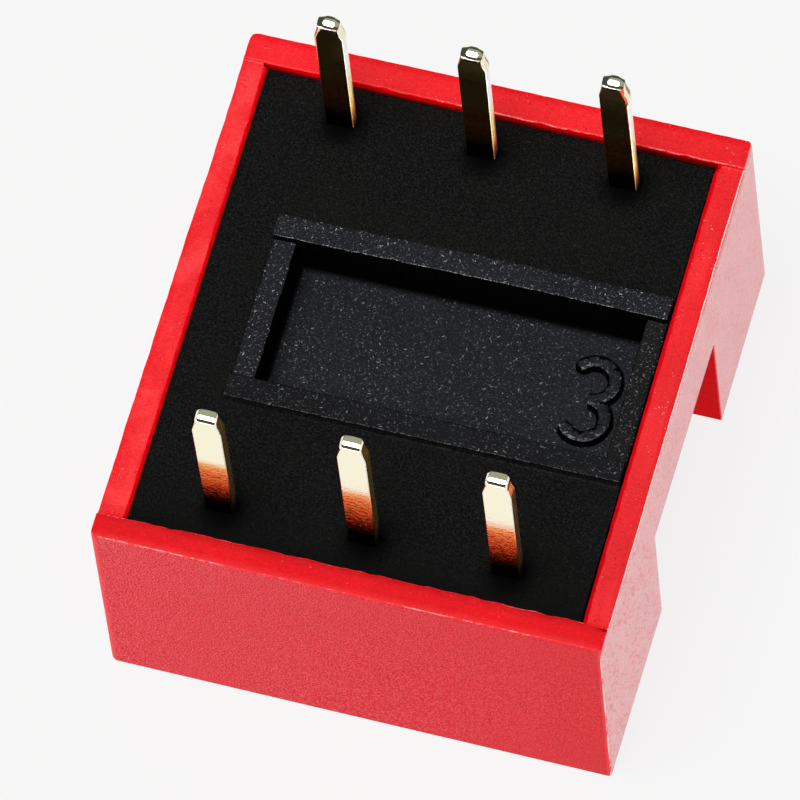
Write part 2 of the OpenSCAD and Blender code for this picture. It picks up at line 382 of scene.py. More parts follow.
def start(name, specular):
    m, nt, b = new_material(name)
    b.inputs["IOR"].default_value = 1.5
    b.inputs["Specular IOR Level"].default_value = specular
    return m, b, N(nt)


def pigment(n, dark=1.0, sat=1.0):
    """Two close reds in broad clouds, with a finer mottling."""
    def c(r, g, b):
        return (r * dark, g * dark * sat, b * dark * sat)

    big = n.noise(n.obj, 420, 3, 0.55)
    mid = n.noise(n.obj, 3200, 3, 0.6)
    fine = n.noise(n.obj, 21000, 3, 0.7, 0.5)
    col = n.mix(n.ramp(big, [(0.35, 0.0), (0.65, 1.0)]), c(0.82, 0.0030, 0.009), c(0.90, 0.0045, 0.012))
    col = n.mix(n.times(n.ramp(mid, [(0.5, 0.0), (0.8, 1.0)]), n.ramp(big, [(0.3, 0.15), (0.7, 0.3)])),
                col, c(0.95, 0.022, 0.030))
    col = n.mix(n.times(n.ramp(fine, [(0.38, 1.0), (0.6, 0.0)]), n.ramp(mid, [(0.3, 0.6), (0.7, 0.35)])),
                col, c(0.58, 0.002, 0.007))
    return col, big, mid, fine


def red_rim():
    """The rims that sit on the board, and the two rail faces."""
    m, b, n = start("cover_rim", 0.28)
    col, big, mid, fine = pigment(n)
    x, y, z = n.sep(n.obj)
    end = n.ramp(n.math("MULTIPLY", n.math("ABSOLUTE", x), 100.0), [(0.403, 0.0), (0.406, 1.0)])
    band = n.ramp(n.noise(n.mapping((1.5, 0.2, 1)), 2300, 2, 0.5), [(0.46, 0.0), (0.62, 1.0)])
    end = n.times(end, n.ramp(n.math("MULTIPLY_ADD", y, 100.0, 0.5), [(0.84, 1.0), (0.93, 0.0)]))
    col = n.mix(n.times(band, end, n.ramp(mid, [(0.3, 0.2), (0.7, 0.5)])), col, (1.0, 0.030, 0.034))
    # painted shade: the rims are darkened towards both ends, the right end more than the left, and towards the front
    # more than the rear
    shade = n.ramp(n.math("MULTIPLY_ADD", x, 100.0, 0.5), [(0.09, 0.16), (0.13, 0.0), (0.90, 0.0), (0.905, 0.36)])
    fore = n.ramp(n.math("MULTIPLY_ADD", y, 100.0, 0.5), [(0.05, 1.0), (0.9, 0.35)])
    col = n.mix(n.times(shade, fore, n.ramp(big, [(0.3, 1.6), (0.7, 0.8)])), col, (0.40, 0.0008, 0.004))
    # pale ticks and specks where the surface is scuffed
    patch = n.ramp(n.noise(n.obj, 1900, 3, 0.6), [(0.46, 0.0), (0.60, 1.0)])
    tick = n.math("MAXIMUM", n.strokes(5200, 0.000026, 0.0000065, 0.4, 1.4, 0.22, 0.2),
                  n.strokes(9500, 0.000010, 0.000008, 0.0, 1.5, 0.16, shift=0.013))
    right = n.ramp(n.math("MULTIPLY", x, 100.0), [(0.404, 0.45), (0.406, 1.0)])
    grain = n.noise(n.obj, 30000, 1, 0.5)
    col = n.mix(n.ramp(grain, [(0.36, 0.10), (0.52, 0.0)]), col, (0.60, 0.001, 0.005))
    col = n.mix(n.ramp(grain, [(0.50, 0.0), (0.66, 0.07)]), col, (1.0, 0.09, 0.09))
    left = n.times(n.ramp(n.math("MULTIPLY", x, -100.0), [(0.403, 0.0), (0.406, 1.0)]),
                   n.ramp(n.math("MULTIPLY_ADD", y, 100.0, 0.5), [(0.84, 1.0), (0.93, 0.0)]))
    blot = n.ramp(n.noise(n.obj, 1150, 3, 0.6, 0.6), [(0.45, 0.0), (0.62, 0.50)])
    col = n.mix(n.times(blot, left), col, (1.0, 0.050, 0.052))
    col = n.mix(n.times(tick, patch, right), col, (1.0, 0.46, 0.44))
    dent = n.strokes(6100, 0.000026, 0.000009, -0.6, 1.5, 0.25, shift=0.031)
    col = n.mix(n.times(dent, patch, n.ramp(mid, [(0.3, 0.4), (0.7, 0.2)])), col, (0.30, 0.001, 0.004))
    n.put(b.inputs["Base Color"], col)
    n.put(b.inputs["Roughness"], n.ramp(fine, [(0.3, 0.34), (0.7, 0.46)]))
    nrm = n.bump(fine, 0.000005, 0.7)
    nrm = n.bump(n.math("ADD", tick, n.math("MULTIPLY", dent, -1.0)), 0.000010, 0.8, nrm)
    n.put(b.inputs["Normal"], n.bump(band, 0.000012, 0.4, nrm))
    return m


def red_strip():
    """Rim of the front wall: painted a little darker as shade, most of all along its inner edge."""
    m, b, n = start("cover_strip", 0.10)
    col, big, mid, fine = pigment(n)
    x, y, z = n.sep(n.obj)
    cloud = n.noise(n.mapping((0.6, 1, 1)), 1300, 3, 0.6)
    # painted shade: darker clouds over the strip, and a dark band along its inner edge
    col = n.mix(n.ramp(cloud, [(0.3, 0.95), (0.7, 0.50)]), col, (0.58, 0.0026, 0.008))
    inner = n.ramp(n.math("MULTIPLY", n.math("ADD", y, 0.005), 1000.0), [(0.30, 0.0), (0.42, 1.0)])
    col = n.mix(n.times(inner, n.ramp(cloud, [(0.3, 0.9), (0.7, 0.5)])), col, (0.42, 0.0006, 0.003))
    grain = n.noise(n.obj, 30000, 1, 0.5)
    col = n.mix(n.ramp(grain, [(0.36, 0.14), (0.52, 0.0)]), col, (0.34, 0.0006, 0.003))
    col = n.mix(n.ramp(grain, [(0.50, 0.0), (0.66, 0.10)]), col, (1.0, 0.040, 0.042))
    tick = n.strokes(7600, 0.000014, 0.000007, 0.3, 1.4, 0.16)
    col = n.mix(n.times(tick, n.ramp(mid, [(0.45, 0.0), (0.6, 0.6)])), col, (1.0, 0.30, 0.28))
    n.put(b.inputs["Base Color"], col)
    n.put(b.inputs["Roughness"], n.ramp(fine, [(0.3, 0.36), (0.7, 0.50)]))
    nrm = n.bump(fine, 0.000006, 0.7)
    n.put(b.inputs["Normal"], n.bump(cloud, 0.000012, 0.5, nrm))
    return m


def red_face():
    """The front and rear faces, from a spark-eroded mould, with a painted pink sheen and painted light to the left."""
    m, b, n = start("cover_face", 0.13)
    col, big, mid, fine = pigment(n)
    x, y, z = n.sep(n.obj)
    worm = n.noise(n.mapping((1, 1, 0.8)), 23000, 2, 0.7, 2.2)
    upper = n.ramp(n.math("MULTIPLY", z, 100.0), [(0.30, 0.0), (0.515, 1.0)])
    left = n.ramp(n.math("MULTIPLY_ADD", x, 100.0, 0.5), [(0.10, 1.0), (0.90, 0.0)])
    # painted light: the faces are lighter to the left, as if lit from that side
    col = n.mix(n.ramp(mid, [(0.3, 0.6), (0.7, 0.8)]), col,
                n.mix(left, (0.90, 0.003, 0.012), (1.0, 0.010, 0.026)))
    # towards the top the darker texture shows more, partly the mould's own texture and partly painted grazing light
    col = n.mix(n.times(n.ramp(worm, [(0.40, 1.0), (0.49, 0.0)]), n.mixf(upper, 0.50, 0.65)),
                col, (0.74, 0.002, 0.010))
    # painted sheen: pale pink on the peaks of the texture, much stronger to the left
    col = n.mix(n.times(n.ramp(worm, [(0.51, 0.0), (0.58, 1.0)]), n.mixf(upper, 0.30, 0.55),
                        n.mixf(left, 0.12, 1.0)), col, (1.0, 0.24, 0.28))
    grain = n.noise(n.obj, 34000, 1, 0.5)
    col = n.mix(n.ramp(grain, [(0.40, 0.80), (0.49, 0.0)]), col, (0.70, 0.001, 0.006))
    # painted sheen: pale pink grain, stronger to the left
    col = n.mix(n.times(n.ramp(grain, [(0.51, 0.0), (0.59, 0.68)]), n.mixf(left, 0.34, 1.0)), col, (1.0, 0.165, 0.21))
    n.put(b.inputs["Base Color"], col)
    n.put(b.inputs["Roughness"], n.mixf(left, n.ramp(worm, [(0.3, 0.60), (0.7, 0.42)]),
                                        n.ramp(worm, [(0.3, 0.66), (0.7, 0.50)])))
    nrm = n.bump(worm, 0.000026, 1.0)
    n.put(b.inputs["Normal"], n.bump(mid, 0.000015, 0.5, nrm))
    return m


def red_end():
    """The smooth end walls: pitted and wrinkled close to the rim."""
    m, b, n = start("cover_end", 1.0)
    b.inputs["Coat Weight"].default_value = 0.22
    b.inputs["Coat Roughness"].default_value = 0.18
    col, big, mid, fine = pigment(n)
    x, y, z = n.sep(n.obj)
    near = n.ramp(n.math("MULTIPLY", z, 100.0), [(0.455, 0.0), (0.495, 1.0)], "EASE")
    close = n.ramp(n.math("MULTIPLY", z, 100.0), [(0.475, 0.0), (0.50, 1.0)], "EASE")
    soft = n.noise(n.mapping((1, 1, 0.35)), 1700, 3, 0.5)
    skew = n.nt.nodes.new("ShaderNodeCombineXYZ")
    n.link(n.math("MULTIPLY_ADD", y, 0.90, n.math("MULTIPLY", z, 0.44)), skew.inputs[0])
    n.link(n.math("MULTIPLY_ADD", y, 0.088, n.math("MULTIPLY", z, -0.18)), skew.inputs[1])
    skew = skew.outputs[0]
    wrinkle = n.noise(skew, 9000, 3, 0.6, 0.8)
    col = n.mix(n.ramp(soft, [(0.3, 0.25), (0.7, 0.6)]), col, (1.0, 0.020, 0.045))
    pit = n.math("MAXIMUM",
                 n.times(n.strokes(5200, 0.000050, 0.000012, 1.25, 0.8, 0.60, 0.6, (1, 2)), n.mixf(close, 0.16, 1.0)),
                 n.times(n.strokes(3300, 0.000030, 0.000011, 1.4, 1.2, 0.16, 0.5, (1, 2), 0.017),
                         n.ramp(mid, [(0.4, 0.1), (0.6, 0.6)])))
    mottle = n.noise(skew, 12500, 3, 0.7, 0.6)
    blotch = n.noise(skew, 2400, 3, 0.6)
    calm = n.ramp(n.math("MULTIPLY_ADD", y, 100.0, 0.5), [(0.20, 1.0), (0.50, 0.32)])
    dim = n.times(n.ramp(mottle, [(0.38, 1.0), (0.50, 0.0)]), n.ramp(blotch, [(0.38, 0.35), (0.60, 1.0)]), calm)
    col = n.mix(pit, col, (0.30, 0.001, 0.005))
    n.put(b.inputs["Base Color"], col)
    rough = n.ramp(blotch, [(0.3, 0.09), (0.7, 0.20)])
    rough = n.mixf(dim, rough, n.mixf(near, 0.40, 0.50))
    rough = n.mixf(n.math("MULTIPLY", near, 0.6), rough, n.ramp(wrinkle, [(0.35, 0.12), (0.65, 0.32)]))
    n.put(b.inputs["Roughness"], n.mixf(pit, rough, 0.75))
    nrm = n.bump(soft, 0.000016, 0.6)
    nrm = n.bump(n.times(wrinkle, n.mixf(near, 0.35, 1.7)), 0.000012, 0.9, nrm)
    nrm = n.bump(n.times(mottle, n.ramp(blotch, [(0.35, 0.35), (0.65, 1.0)]), calm), 0.0000075, 0.9, nrm)
    n.put(b.inputs["Normal"], n.bump(pit, -0.000018, 0.8, nrm))
    return m


def red_lip():
    """Inner faces of the walls above the base, with their chamfers, darkened as painted shade."""
    m, b, n = start("cover_lip", 0.0)
    col, big, mid, fine = pigment(n)
    x, y, z = n.sep(n.obj)
    # painted shade: the inner faces are darkened, less so towards the left and the rear, and the rear face is kept a
    # bright red
    left = n.ramp(n.math("MULTIPLY_ADD", x, -100.0, 0.5), [(0.60, 0.0), (0.85, 1.0)])
    rear = n.times(n.ramp(n.math("MULTIPLY_ADD", y, 100.0, 0.5), [(0.10, 0.2), (0.35, 1.0)]),
                   n.ramp(n.math("MULTIPLY", x, 100.0), [(0.390, 0.0), (0.398, 1.0)]))
    left = n.math("MAXIMUM", left, n.math("MULTIPLY", rear, 0.7))
    back = n.ramp(n.math("MULTIPLY", y, 100.0), [(0.443, 0.0), (0.445, 1.0)])
    left = n.math("MAXIMUM", left, n.times(back, n.ramp(n.math("MULTIPLY", z, 100.0),
                                                        [(0.484, 0.0), (0.496, 1.0)])))
    col = n.mix(n.mixf(left, n.ramp(mid, [(0.3, 0.9), (0.7, 0.6)]), n.ramp(mid, [(0.3, 0.4), (0.7, 0.1)])),
                col, (0.36, 0.0006, 0.003))
    col = n.mix(n.times(back, n.ramp(mid, [(0.3, 0.85), (0.7, 1.0)])), col, (1.0, 0.0012, 0.004))
    n.put(b.inputs["Base Color"], col)
    n.put(b.inputs["Roughness"], n.ramp(fine, [(0.3, 0.6), (0.7, 0.8)]))
    # at the rear the wall rounds over towards its rim
    nrm = n.bump(n.times(n.math("MULTIPLY", z, -1.0), back), 0.9)
    n.put(b.inputs["Normal"], n.bump(mid, 0.00002, 0.6, nrm))
    return m


def red_dull():
    """Trough, slots and everything inside the cover."""
    m, b, n = start("cover_dull", 0.03)
    col, big, mid, fine = pigment(n, 1.1, 0.6)
    drag = n.noise(n.mapping((0.15, 1, 1)), 9000, 3, 0.6)
    col = n.mix(n.ramp(drag, [(0.4, 0.35), (0.62, 0.0)]), col, (0.55, 0.001, 0.005))
    n.put(b.inputs["Base Color"], col)
    n.put(b.inputs["Roughness"], n.ramp(fine, [(0.3, 0.6), (0.7, 0.8)]))
    nrm = n.bump(drag, 0.000010, 0.6)
    n.put(b.inputs["Normal"], n.bump(fine, 0.000006, 0.6, nrm))
    return m


def red_edge():
    """Broken edges: clean red, or pale burrs with a painted highlight where the attribute says so."""
    m, b, n = start("cover_edge", 0.22)
    col, big, mid, fine = pigment(n)
    burr_and_highlight = n.attr("burr_and_highlight")
    grit = n.noise(n.obj, 9500, 3, 0.75)
    long = n.noise(n.obj, 1500, 2, 0.5)
    # painted highlight: where the attribute is high, a broken pale pink to white line runs along the edge
    t = n.math("ADD", n.math("MULTIPLY_ADD", long, 0.8, -0.42),
               n.math("ADD", grit, n.math("MULTIPLY_ADD", burr_and_highlight, 0.42, -0.42)))
    white = n.ramp(t, [(0.36, 0.0), (0.58, 1.0)])
    col = n.mix(n.ramp(mid, [(0.3, 0.3), (0.7, 0.7)]), col, (0.98, 0.012, 0.020))
    pale = n.mix(n.ramp(burr_and_highlight, [(0.90, 0.0), (1.10, 1.0)]), (1.0, 0.26, 0.24), (1.0, 0.70, 0.66))
    col = n.mix(white, col, pale)
    n.put(b.inputs["Base Color"], col)
    n.put(b.inputs["Roughness"], n.ramp(grit, [(0.3, 0.35), (0.7, 0.5)]))
    n.put(b.inputs["Normal"], n.bump(grit, 0.000020, 0.8))
    return m


def pin_root_shade(n, x, y):
    """Painted shade round the roots of the pins: 0 at the roots, 1 away from them."""
    d = None
    for s in (-1, 1):
        for px in POS_X:
            dx = n.math("SUBTRACT", x, (px + 0.04) * MM)
            dy = n.math("SUBTRACT", y, (s * ROW - 0.10) * MM)
            r = n.math("SQRT", n.math("ADD", n.times(dx, dx), n.times(dy, dy)))
            d = r if d is None else n.math("MINIMUM", d, r)
    return n.ramp(n.math("MULTIPLY", d, 1000.0), [(0.10, 0.0), (0.62, 1.0)], "EASE")


def black_base():
    """The flat of the base: fine-grained and nearly black."""
    m, b, n = start("base_flat", 0.05)
    x, y, z = n.sep(n.obj)
    fuzz = n.noise(n.obj, 26000, 3, 0.75, 0.8)
    cloud = n.noise(n.obj, 900, 3, 0.5)
    root_shade = pin_root_shade(n, x, y)
    grain = n.ramp(fuzz, [(0.46, 0.0), (0.62, 1.0)])
    col = n.mix(grain, (0.0006, 0.0006, 0.0006), (0.0125, 0.0132, 0.0132))
    col = n.mix(n.ramp(cloud, [(0.4, 0.0), (0.7, 0.35)]), col, (0.0060, 0.0058, 0.0050))
    tick = n.times(n.strokes(6000, 0.000035, 0.000008, 0.3, 1.4, 0.16),
                   n.ramp(cloud, [(0.45, 0.1), (0.6, 0.35)]))
    col = n.mix(tick, col, (0.06, 0.063, 0.06))
    # painted shade: the base darkens to near black towards the front wall of the cover
    fore = n.ramp(n.math("MULTIPLY", y, -100.0), [(0.31, 0.0), (0.42, 0.5), (0.448, 0.9)])
    col = n.mix(fore, col, (0.0008, 0.0008, 0.0008))
    # painted shade: the base turns near black round the roots of the pins
    n.put(b.inputs["Base Color"], n.mix(root_shade, (0.0003, 0.0003, 0.0003), col))
    n.put(b.inputs["Roughness"], n.mixf(root_shade, 0.9, n.ramp(fuzz, [(0.3, 0.5), (0.7, 0.75)])))
    nrm = n.bump(fuzz, 0.000010, 0.8)
    n.put(b.inputs["Normal"], n.bump(tick, 0.000006, 0.6, nrm))
    return m


def black_frame():
    """Raised frame and pocket: charcoal, with the glass fibres showing."""
    m, b, n = start("base_frame", 0.10)
    x, y, z = n.sep(n.obj)
    fuzz = n.noise(n.obj, 24000, 3, 0.75, 0.5)
    cloud = n.noise(n.obj, 900, 3, 0.5)
    lip = n.attr("lip")
    grain = n.ramp(fuzz, [(0.42, 0.0), (0.64, 1.0)])
    col = n.mix(cloud, (0.0032, 0.0037, 0.0058), (0.0062, 0.0066, 0.0088))
    col = n.mix(n.times(grain, n.ramp(cloud, [(0.3, 0.55), (0.7, 0.8)])), col, (0.0205, 0.0213, 0.0258))
    # the front bar and the end bars are plainer, the right one a little browner
    front = n.ramp(n.math("MULTIPLY", y, -100.0), [(0.142, 0.0), (0.146, 1.0)])
    level = n.ramp(n.math("MULTIPLY", z, 100.0), [(0.480, 0.0), (0.486, 1.0)])
    inside = n.ramp(n.math("MULTIPLY", n.math("ABSOLUTE", n.math("ADD", y, 0.00005)), 100.0),
                    [(0.136, 1.0), (0.139, 0.0)])
    right = n.times(n.ramp(n.math("MULTIPLY", x, 100.0), [(0.350, 0.0), (0.360, 1.0)]), inside, level)
    col = n.mix(n.times(front, n.ramp(cloud, [(0.3, 0.88), (0.7, 0.66)])), col, (0.0027, 0.0029, 0.0036))
    col = n.mix(n.times(right, n.ramp(cloud, [(0.3, 0.85), (0.7, 0.65)])), col, (0.0042, 0.0043, 0.0038))
    # painted shade: both long bars turn darker towards their outer edges
    rim = n.ramp(n.math("MULTIPLY_ADD", y, -1000.0, -0.95), [(0.75, 0.0), (0.92, 1.0)])
    rear = n.ramp(n.math("MULTIPLY_ADD", y, 1000.0, -1.0), [(0.60, 0.0), (0.76, 1.0)])
    col = n.mix(n.times(n.math("MAXIMUM", rim, rear), 0.45), col, (0.0026, 0.0028, 0.0034))
    # painted shade: the pocket floor is darkened to black at the foot of its rear and left walls
    foot = n.ramp(n.math("MULTIPLY_ADD", y, -1000.0, 1.28), [(0.0, 1.0), (0.14, 0.0)], "EASE")
    side = n.ramp(n.math("MULTIPLY_ADD", x, 1000.0, 2.57), [(0.0, 1.0), (0.06, 0.0)], "EASE")
    low = n.ramp(n.math("MULTIPLY", z, 100.0), [(0.45, 1.0), (0.46, 0.0)])
    shade = n.times(low, n.math("MAXIMUM", foot, side))
    patch = n.ramp(n.noise(n.obj, 1500, 2, 0.5), [(0.35, 0.25), (0.6, 1.0)])
    fine = n.strokes(13500, 0.000017, 0.0000052, 0.25, 1.2, 0.85, 0.2)
    mid = n.strokes(8600, 0.000024, 0.0000056, 0.1, 1.4, 0.50, 0.25, (0, 1), 0.019)
    big = n.strokes(5400, 0.000030, 0.0000062, 0.2, 1.5, 0.22, 0.30, (0, 1), 0.037)
    dots = n.strokes(9800, 0.000008, 0.0000080, 0.0, 1.5, 0.10, 0.1, (0, 1), 0.051)
    crumb = n.noise(n.obj, 26000, 3, 0.75)
    # pale chips on the front-facing edges: broken fibres, and painted highlights on them
    chips_and_glints = n.times(lip, n.ramp(crumb, [(0.47, 0.0), (0.58, 1.0)]),
                    n.ramp(n.noise(n.obj, 5200, 2, 0.5), [(0.38, 0.25), (0.62, 1.0)]))
    bars = n.mixf(level, 0.92, n.mixf(front, 1.35, 0.78))
    col = n.mix(n.times(fine, n.mixf(patch, 0.22, 0.52), bars), col, (0.16, 0.165, 0.18))
    col = n.mix(n.times(mid, n.mixf(patch, 0.30, 0.74), bars), col, (0.23, 0.235, 0.25))
    col = n.mix(n.math("MINIMUM", n.times(n.math("MAXIMUM", big, dots), n.mixf(patch, 0.45, 1.0), bars), 1.0),
                col, (0.40, 0.40, 0.41))
    col = n.mix(chips_and_glints, col, (0.34, 0.34, 0.34))
    col = n.mix(shade, col, (0.0004, 0.0004, 0.0005))
    n.put(b.inputs["Base Color"], col)
    n.put(b.inputs["Roughness"], n.mixf(shade, n.ramp(fuzz, [(0.3, 0.5), (0.7, 0.72)]), 0.95))
    nrm = n.bump(fuzz, 0.000012, 0.9)
    n.put(b.inputs["Normal"], n.bump(n.math("MAXIMUM", mid, big), 0.000006, 0.7, nrm))
    return m


def black_side():
    """Outer upright faces of the raised bars."""
    m, b, n = start("base_side", 0.03)
    x, y, z = n.sep(n.obj)
    fuzz = n.noise(n.obj, 24000, 3, 0.75, 0.8)
    drop = n.ramp(n.math("MULTIPLY_ADD", z, 1000.0, -4.92), [(0.10, 1.0), (0.20, 0.2)])
    n.put(b.inputs["Base Color"], n.mix(n.times(drop, n.ramp(fuzz, [(0.42, 0.1), (0.62, 1.0)])),
                                        (0.0010, 0.0010, 0.0010), (0.0230, 0.0232, 0.0225)))
    n.put(b.inputs["Roughness"], n.ramp(fuzz, [(0.3, 0.6), (0.7, 0.85)]))
    n.put(b.inputs["Normal"], n.bump(fuzz, 0.00001, 0.8))
    return m


def black_wall():
    """Upright faces of the base and its pocket, made near black as painted shade."""
    m, b, n = start("base_wall", 0.02)
    fuzz = n.noise(n.obj, 15000, 3, 0.7)
    n.put(b.inputs["Base Color"], n.mix(n.ramp(fuzz, [(0.4, 0.0), (0.7, 1.0)]),
                                        (0.0003, 0.0003, 0.0004), (0.0022, 0.0022, 0.0024)))
    n.put(b.inputs["Roughness"], n.ramp(fuzz, [(0.3, 0.7), (0.7, 0.9)]))
    n.put(b.inputs["Normal"], n.bump(fuzz, 0.00001, 0.8))
    return m


def gold_face():
    """Rolled faces and tips of the pins, bright-plated, with painted reflection and shade towards the root."""
    m, b, n = start("pin_gold", 0.5)
    b.inputs["Metallic"].default_value = 1.0
    x, y, z = n.sep(n.obj)
    cloud = n.noise(n.obj, 2600, 3, 0.6)
    rear = n.ramp(n.math("MULTIPLY_ADD", y, 100.0, 0.5), [(0.49, 0.0), (0.51, 0.00155)])
    zz = n.math("MULTIPLY", n.math("SUBTRACT", z, rear), 100.0)
    tip = n.mix(cloud, (1.0, 0.93, 0.70), (1.0, 0.96, 0.76))
    root = n.mix(cloud, (0.92, 0.56, 0.15), (1.0, 0.66, 0.22))
    col = n.mix(n.ramp(zz, [(0.680, 0.0), (0.702, 1.0)], "EASE"), root, tip)
    z1 = n.math("MULTIPLY", z, 100.0)
    foot = n.ramp(z1, [(0.640, 1.0), (0.700, 0.0)], "EASE")
    dull = n.ramp(z1, [(0.565, 1.0), (0.620, 0.0)], "EASE")
    base = n.ramp(z1, [(0.530, 1.0), (0.572, 0.0)], "EASE")
    grit = n.noise(n.mapping((1, 1, 1.3)), 12500, 3, 0.62, 0.9)
    coarse = n.noise(n.obj, 11000, 3, 0.6)
    dark_reflection_patch = n.ramp(grit, [(0.36, 1.0), (0.47, 0.0)])
    # painted reflection and shade: low on the face an orange-red band and dark patches stand in for the red cover and
    # the black base seen in the gold, and the face darkens to brown and then near black at the root
    col = n.mix(n.times(foot, n.ramp(coarse, [(0.35, 0.95), (0.6, 0.70)])), col, (1.0, 0.29, 0.058))
    col = n.mix(n.times(dark_reflection_patch, foot, n.ramp(coarse, [(0.35, 1.0), (0.65, 0.55)])), col, (0.22, 0.035, 0.006))
    col = n.mix(n.times(dull, n.ramp(coarse, [(0.35, 0.75), (0.65, 0.35)])), col, (0.20, 0.045, 0.008))
    col = n.mix(n.math("MULTIPLY", base, 0.93), col, (0.010, 0.006, 0.002))
    n.put(b.inputs["Base Color"], col)
    drawn = n.noise(n.mapping((0.35, 1, 1), (0, 0.45, 0)), 15000, 4, 0.7, 0.4)
    edge = n.ramp(z1, [(0.650, 0.0), (0.680, 1.0)])
    streaky = n.times(edge, n.ramp(z1, [(0.690, 1.0), (0.715, 0.0)]))
    behind = n.ramp(n.math("MULTIPLY_ADD", y, 100.0, 0.5), [(0.49, 0.0), (0.51, 1.0)])
    speck = n.times(n.strokes(6500, 0.000016, 0.000010, 0.5, 1.5, 0.06, 0.3, (0, 2)), behind,
                    n.ramp(z1, [(0.84, 1.0), (0.845, 0.0)]))
    rough = n.mixf(foot, n.ramp(drawn, [(0.3, 0.035), (0.7, 0.085)]), n.ramp(grit, [(0.3, 0.06), (0.7, 0.12)]))
    worn = n.ramp(z1, [(0.600, 1.0), (0.650, 0.0)])
    rough = n.mixf(n.times(worn, n.math("SUBTRACT", 1.0, behind)), rough, 0.16)
    n.put(b.inputs["Roughness"], n.mixf(n.math("MULTIPLY", speck, 0.6), rough, 0.50))
    # the leftmost pin of the front row is bent back a little more near its foot
    far = n.ramp(n.math("MULTIPLY_ADD", x, 100.0, 0.5), [(0.37, 1.75), (0.38, 1.0)])
    nrm = n.bump(n.times(n.math("MULTIPLY", n.math("MINIMUM", z, 0.00846), -1.0), far), 0.064)
    flat = n.ramp(z1, [(0.842, 1.0), (0.848, 0.0)])
    nrm = n.bump(n.times(drawn, n.mixf(streaky, 0.45, 1.3), flat), 0.0000060, 0.8, nrm)
    back = n.ramp(n.math("MULTIPLY_ADD", y, 100.0, 0.5), [(0.49, 0.03), (0.51, 0.16)])
    n.put(b.inputs["Normal"], n.bump(n.times(grit, n.mixf(foot, back, n.mixf(behind, 1.0, 0.22)), flat),
                                     0.0000150, 0.9, nrm))
    return m


def gold_side():
    """Sheared sides of the pins: duller, streaked from tip to root."""
    m, b, n = start("pin_side", 0.5)
    b.inputs["Metallic"].default_value = 0.90
    x, y, z = n.sep(n.obj)
    cloud = n.noise(n.obj, 3000, 3, 0.6)
    streak = n.noise(n.mapping((1, 1, 0.14)), 24000, 3, 0.6)
    grit = n.noise(n.obj, 24000, 2, 0.6, 0.6)
    zz = n.math("MULTIPLY", z, 100.0)
    rear = n.ramp(n.math("MULTIPLY_ADD", y, 100.0, 0.5), [(0.49, 0.0), (0.51, 1.0)])
    # painted reflection: on the rear pins the sides run from near white high up through cream and orange to dark brown
    # low down
    wave = n.math("ADD", zz, n.math("MULTIPLY_ADD", streak, 0.06, -0.03))
    bright = n.ramp(wave, [(0.50, (0.30, 0.13, 0.03)), (0.545, (0.80, 0.42, 0.12)), (0.585, (1.0, 0.86, 0.36)),
                           (0.655, (1.0, 0.80, 0.50)), (0.71, (1.0, 0.96, 0.88)), (0.75, (1.0, 0.99, 0.97)),
                           (0.80, (1.0, 0.985, 0.95)), (0.825, (1.0, 0.93, 0.72))])
    dim = n.mix(cloud, (0.95, 0.52, 0.12), (1.0, 0.66, 0.20))
    col = n.mix(rear, dim, bright)
    # behind its middle the side is browner, and so are its streaks
    half = n.ramp(n.math("MULTIPLY_ADD", y, 1000.0, -3.3), [(0.52, 0.0), (0.56, 1.0)])
    low = n.ramp(zz, [(0.60, 1.0), (0.66, 0.0)])
    outer = n.times(n.ramp(n.math("MULTIPLY_ADD", y, 1000.0, -3.3), [(0.585, 0.0), (0.61, 1.0)]),
                    n.ramp(zz, [(0.80, 0.0), (0.82, 0.8)]))
    col = n.mix(n.math("MAXIMUM", n.times(half, low, 0.9), outer), col, (0.40, 0.12, 0.02))
    col = n.mix(n.times(n.ramp(streak, [(0.36, 1.0), (0.48, 0.0)]), n.ramp(zz, [(0.64, 0.60), (0.74, 0.10)])),
                col, (0.50, 0.18, 0.03))
    # painted shade: the sides darken to near black at the root
    base = n.ramp(zz, [(0.51, 1.0), (0.56, 0.0)], "EASE")
    col = n.mix(n.times(base, n.mixf(rear, 0.90, 0.35)), col, (0.010, 0.006, 0.002))
    n.put(b.inputs["Base Color"], col)
    n.put(b.inputs["Roughness"], n.mixf(rear, n.ramp(streak, [(0.3, 0.10), (0.7, 0.20)]),
                                        n.ramp(streak, [(0.3, 0.24), (0.7, 0.40)])))
    # in the rear row the shear leaves a lip that faces up
    knee = 0.00817
    low_z, high_z = n.math("MINIMUM", z, knee), n.math("MAXIMUM", n.math("SUBTRACT", z, knee), 0.0)
    lip = n.math("ADD", n.math("MULTIPLY", low_z, -0.72), n.math("MULTIPLY", high_z, -0.42))
    side = n.times(high_z, n.ramp(n.math("MULTIPLY_ADD", x, 100.0, 0.5), [(0.62, 0.0), (0.63, 0.09)]))
    nrm = n.bump(n.mixf(rear, side, lip), 1.0)
    nrm = n.bump(streak, 0.000004, 0.8, nrm)
    n.put(b.inputs["Normal"], n.bump(grit, 0.0000025, 0.8, nrm))
    return m


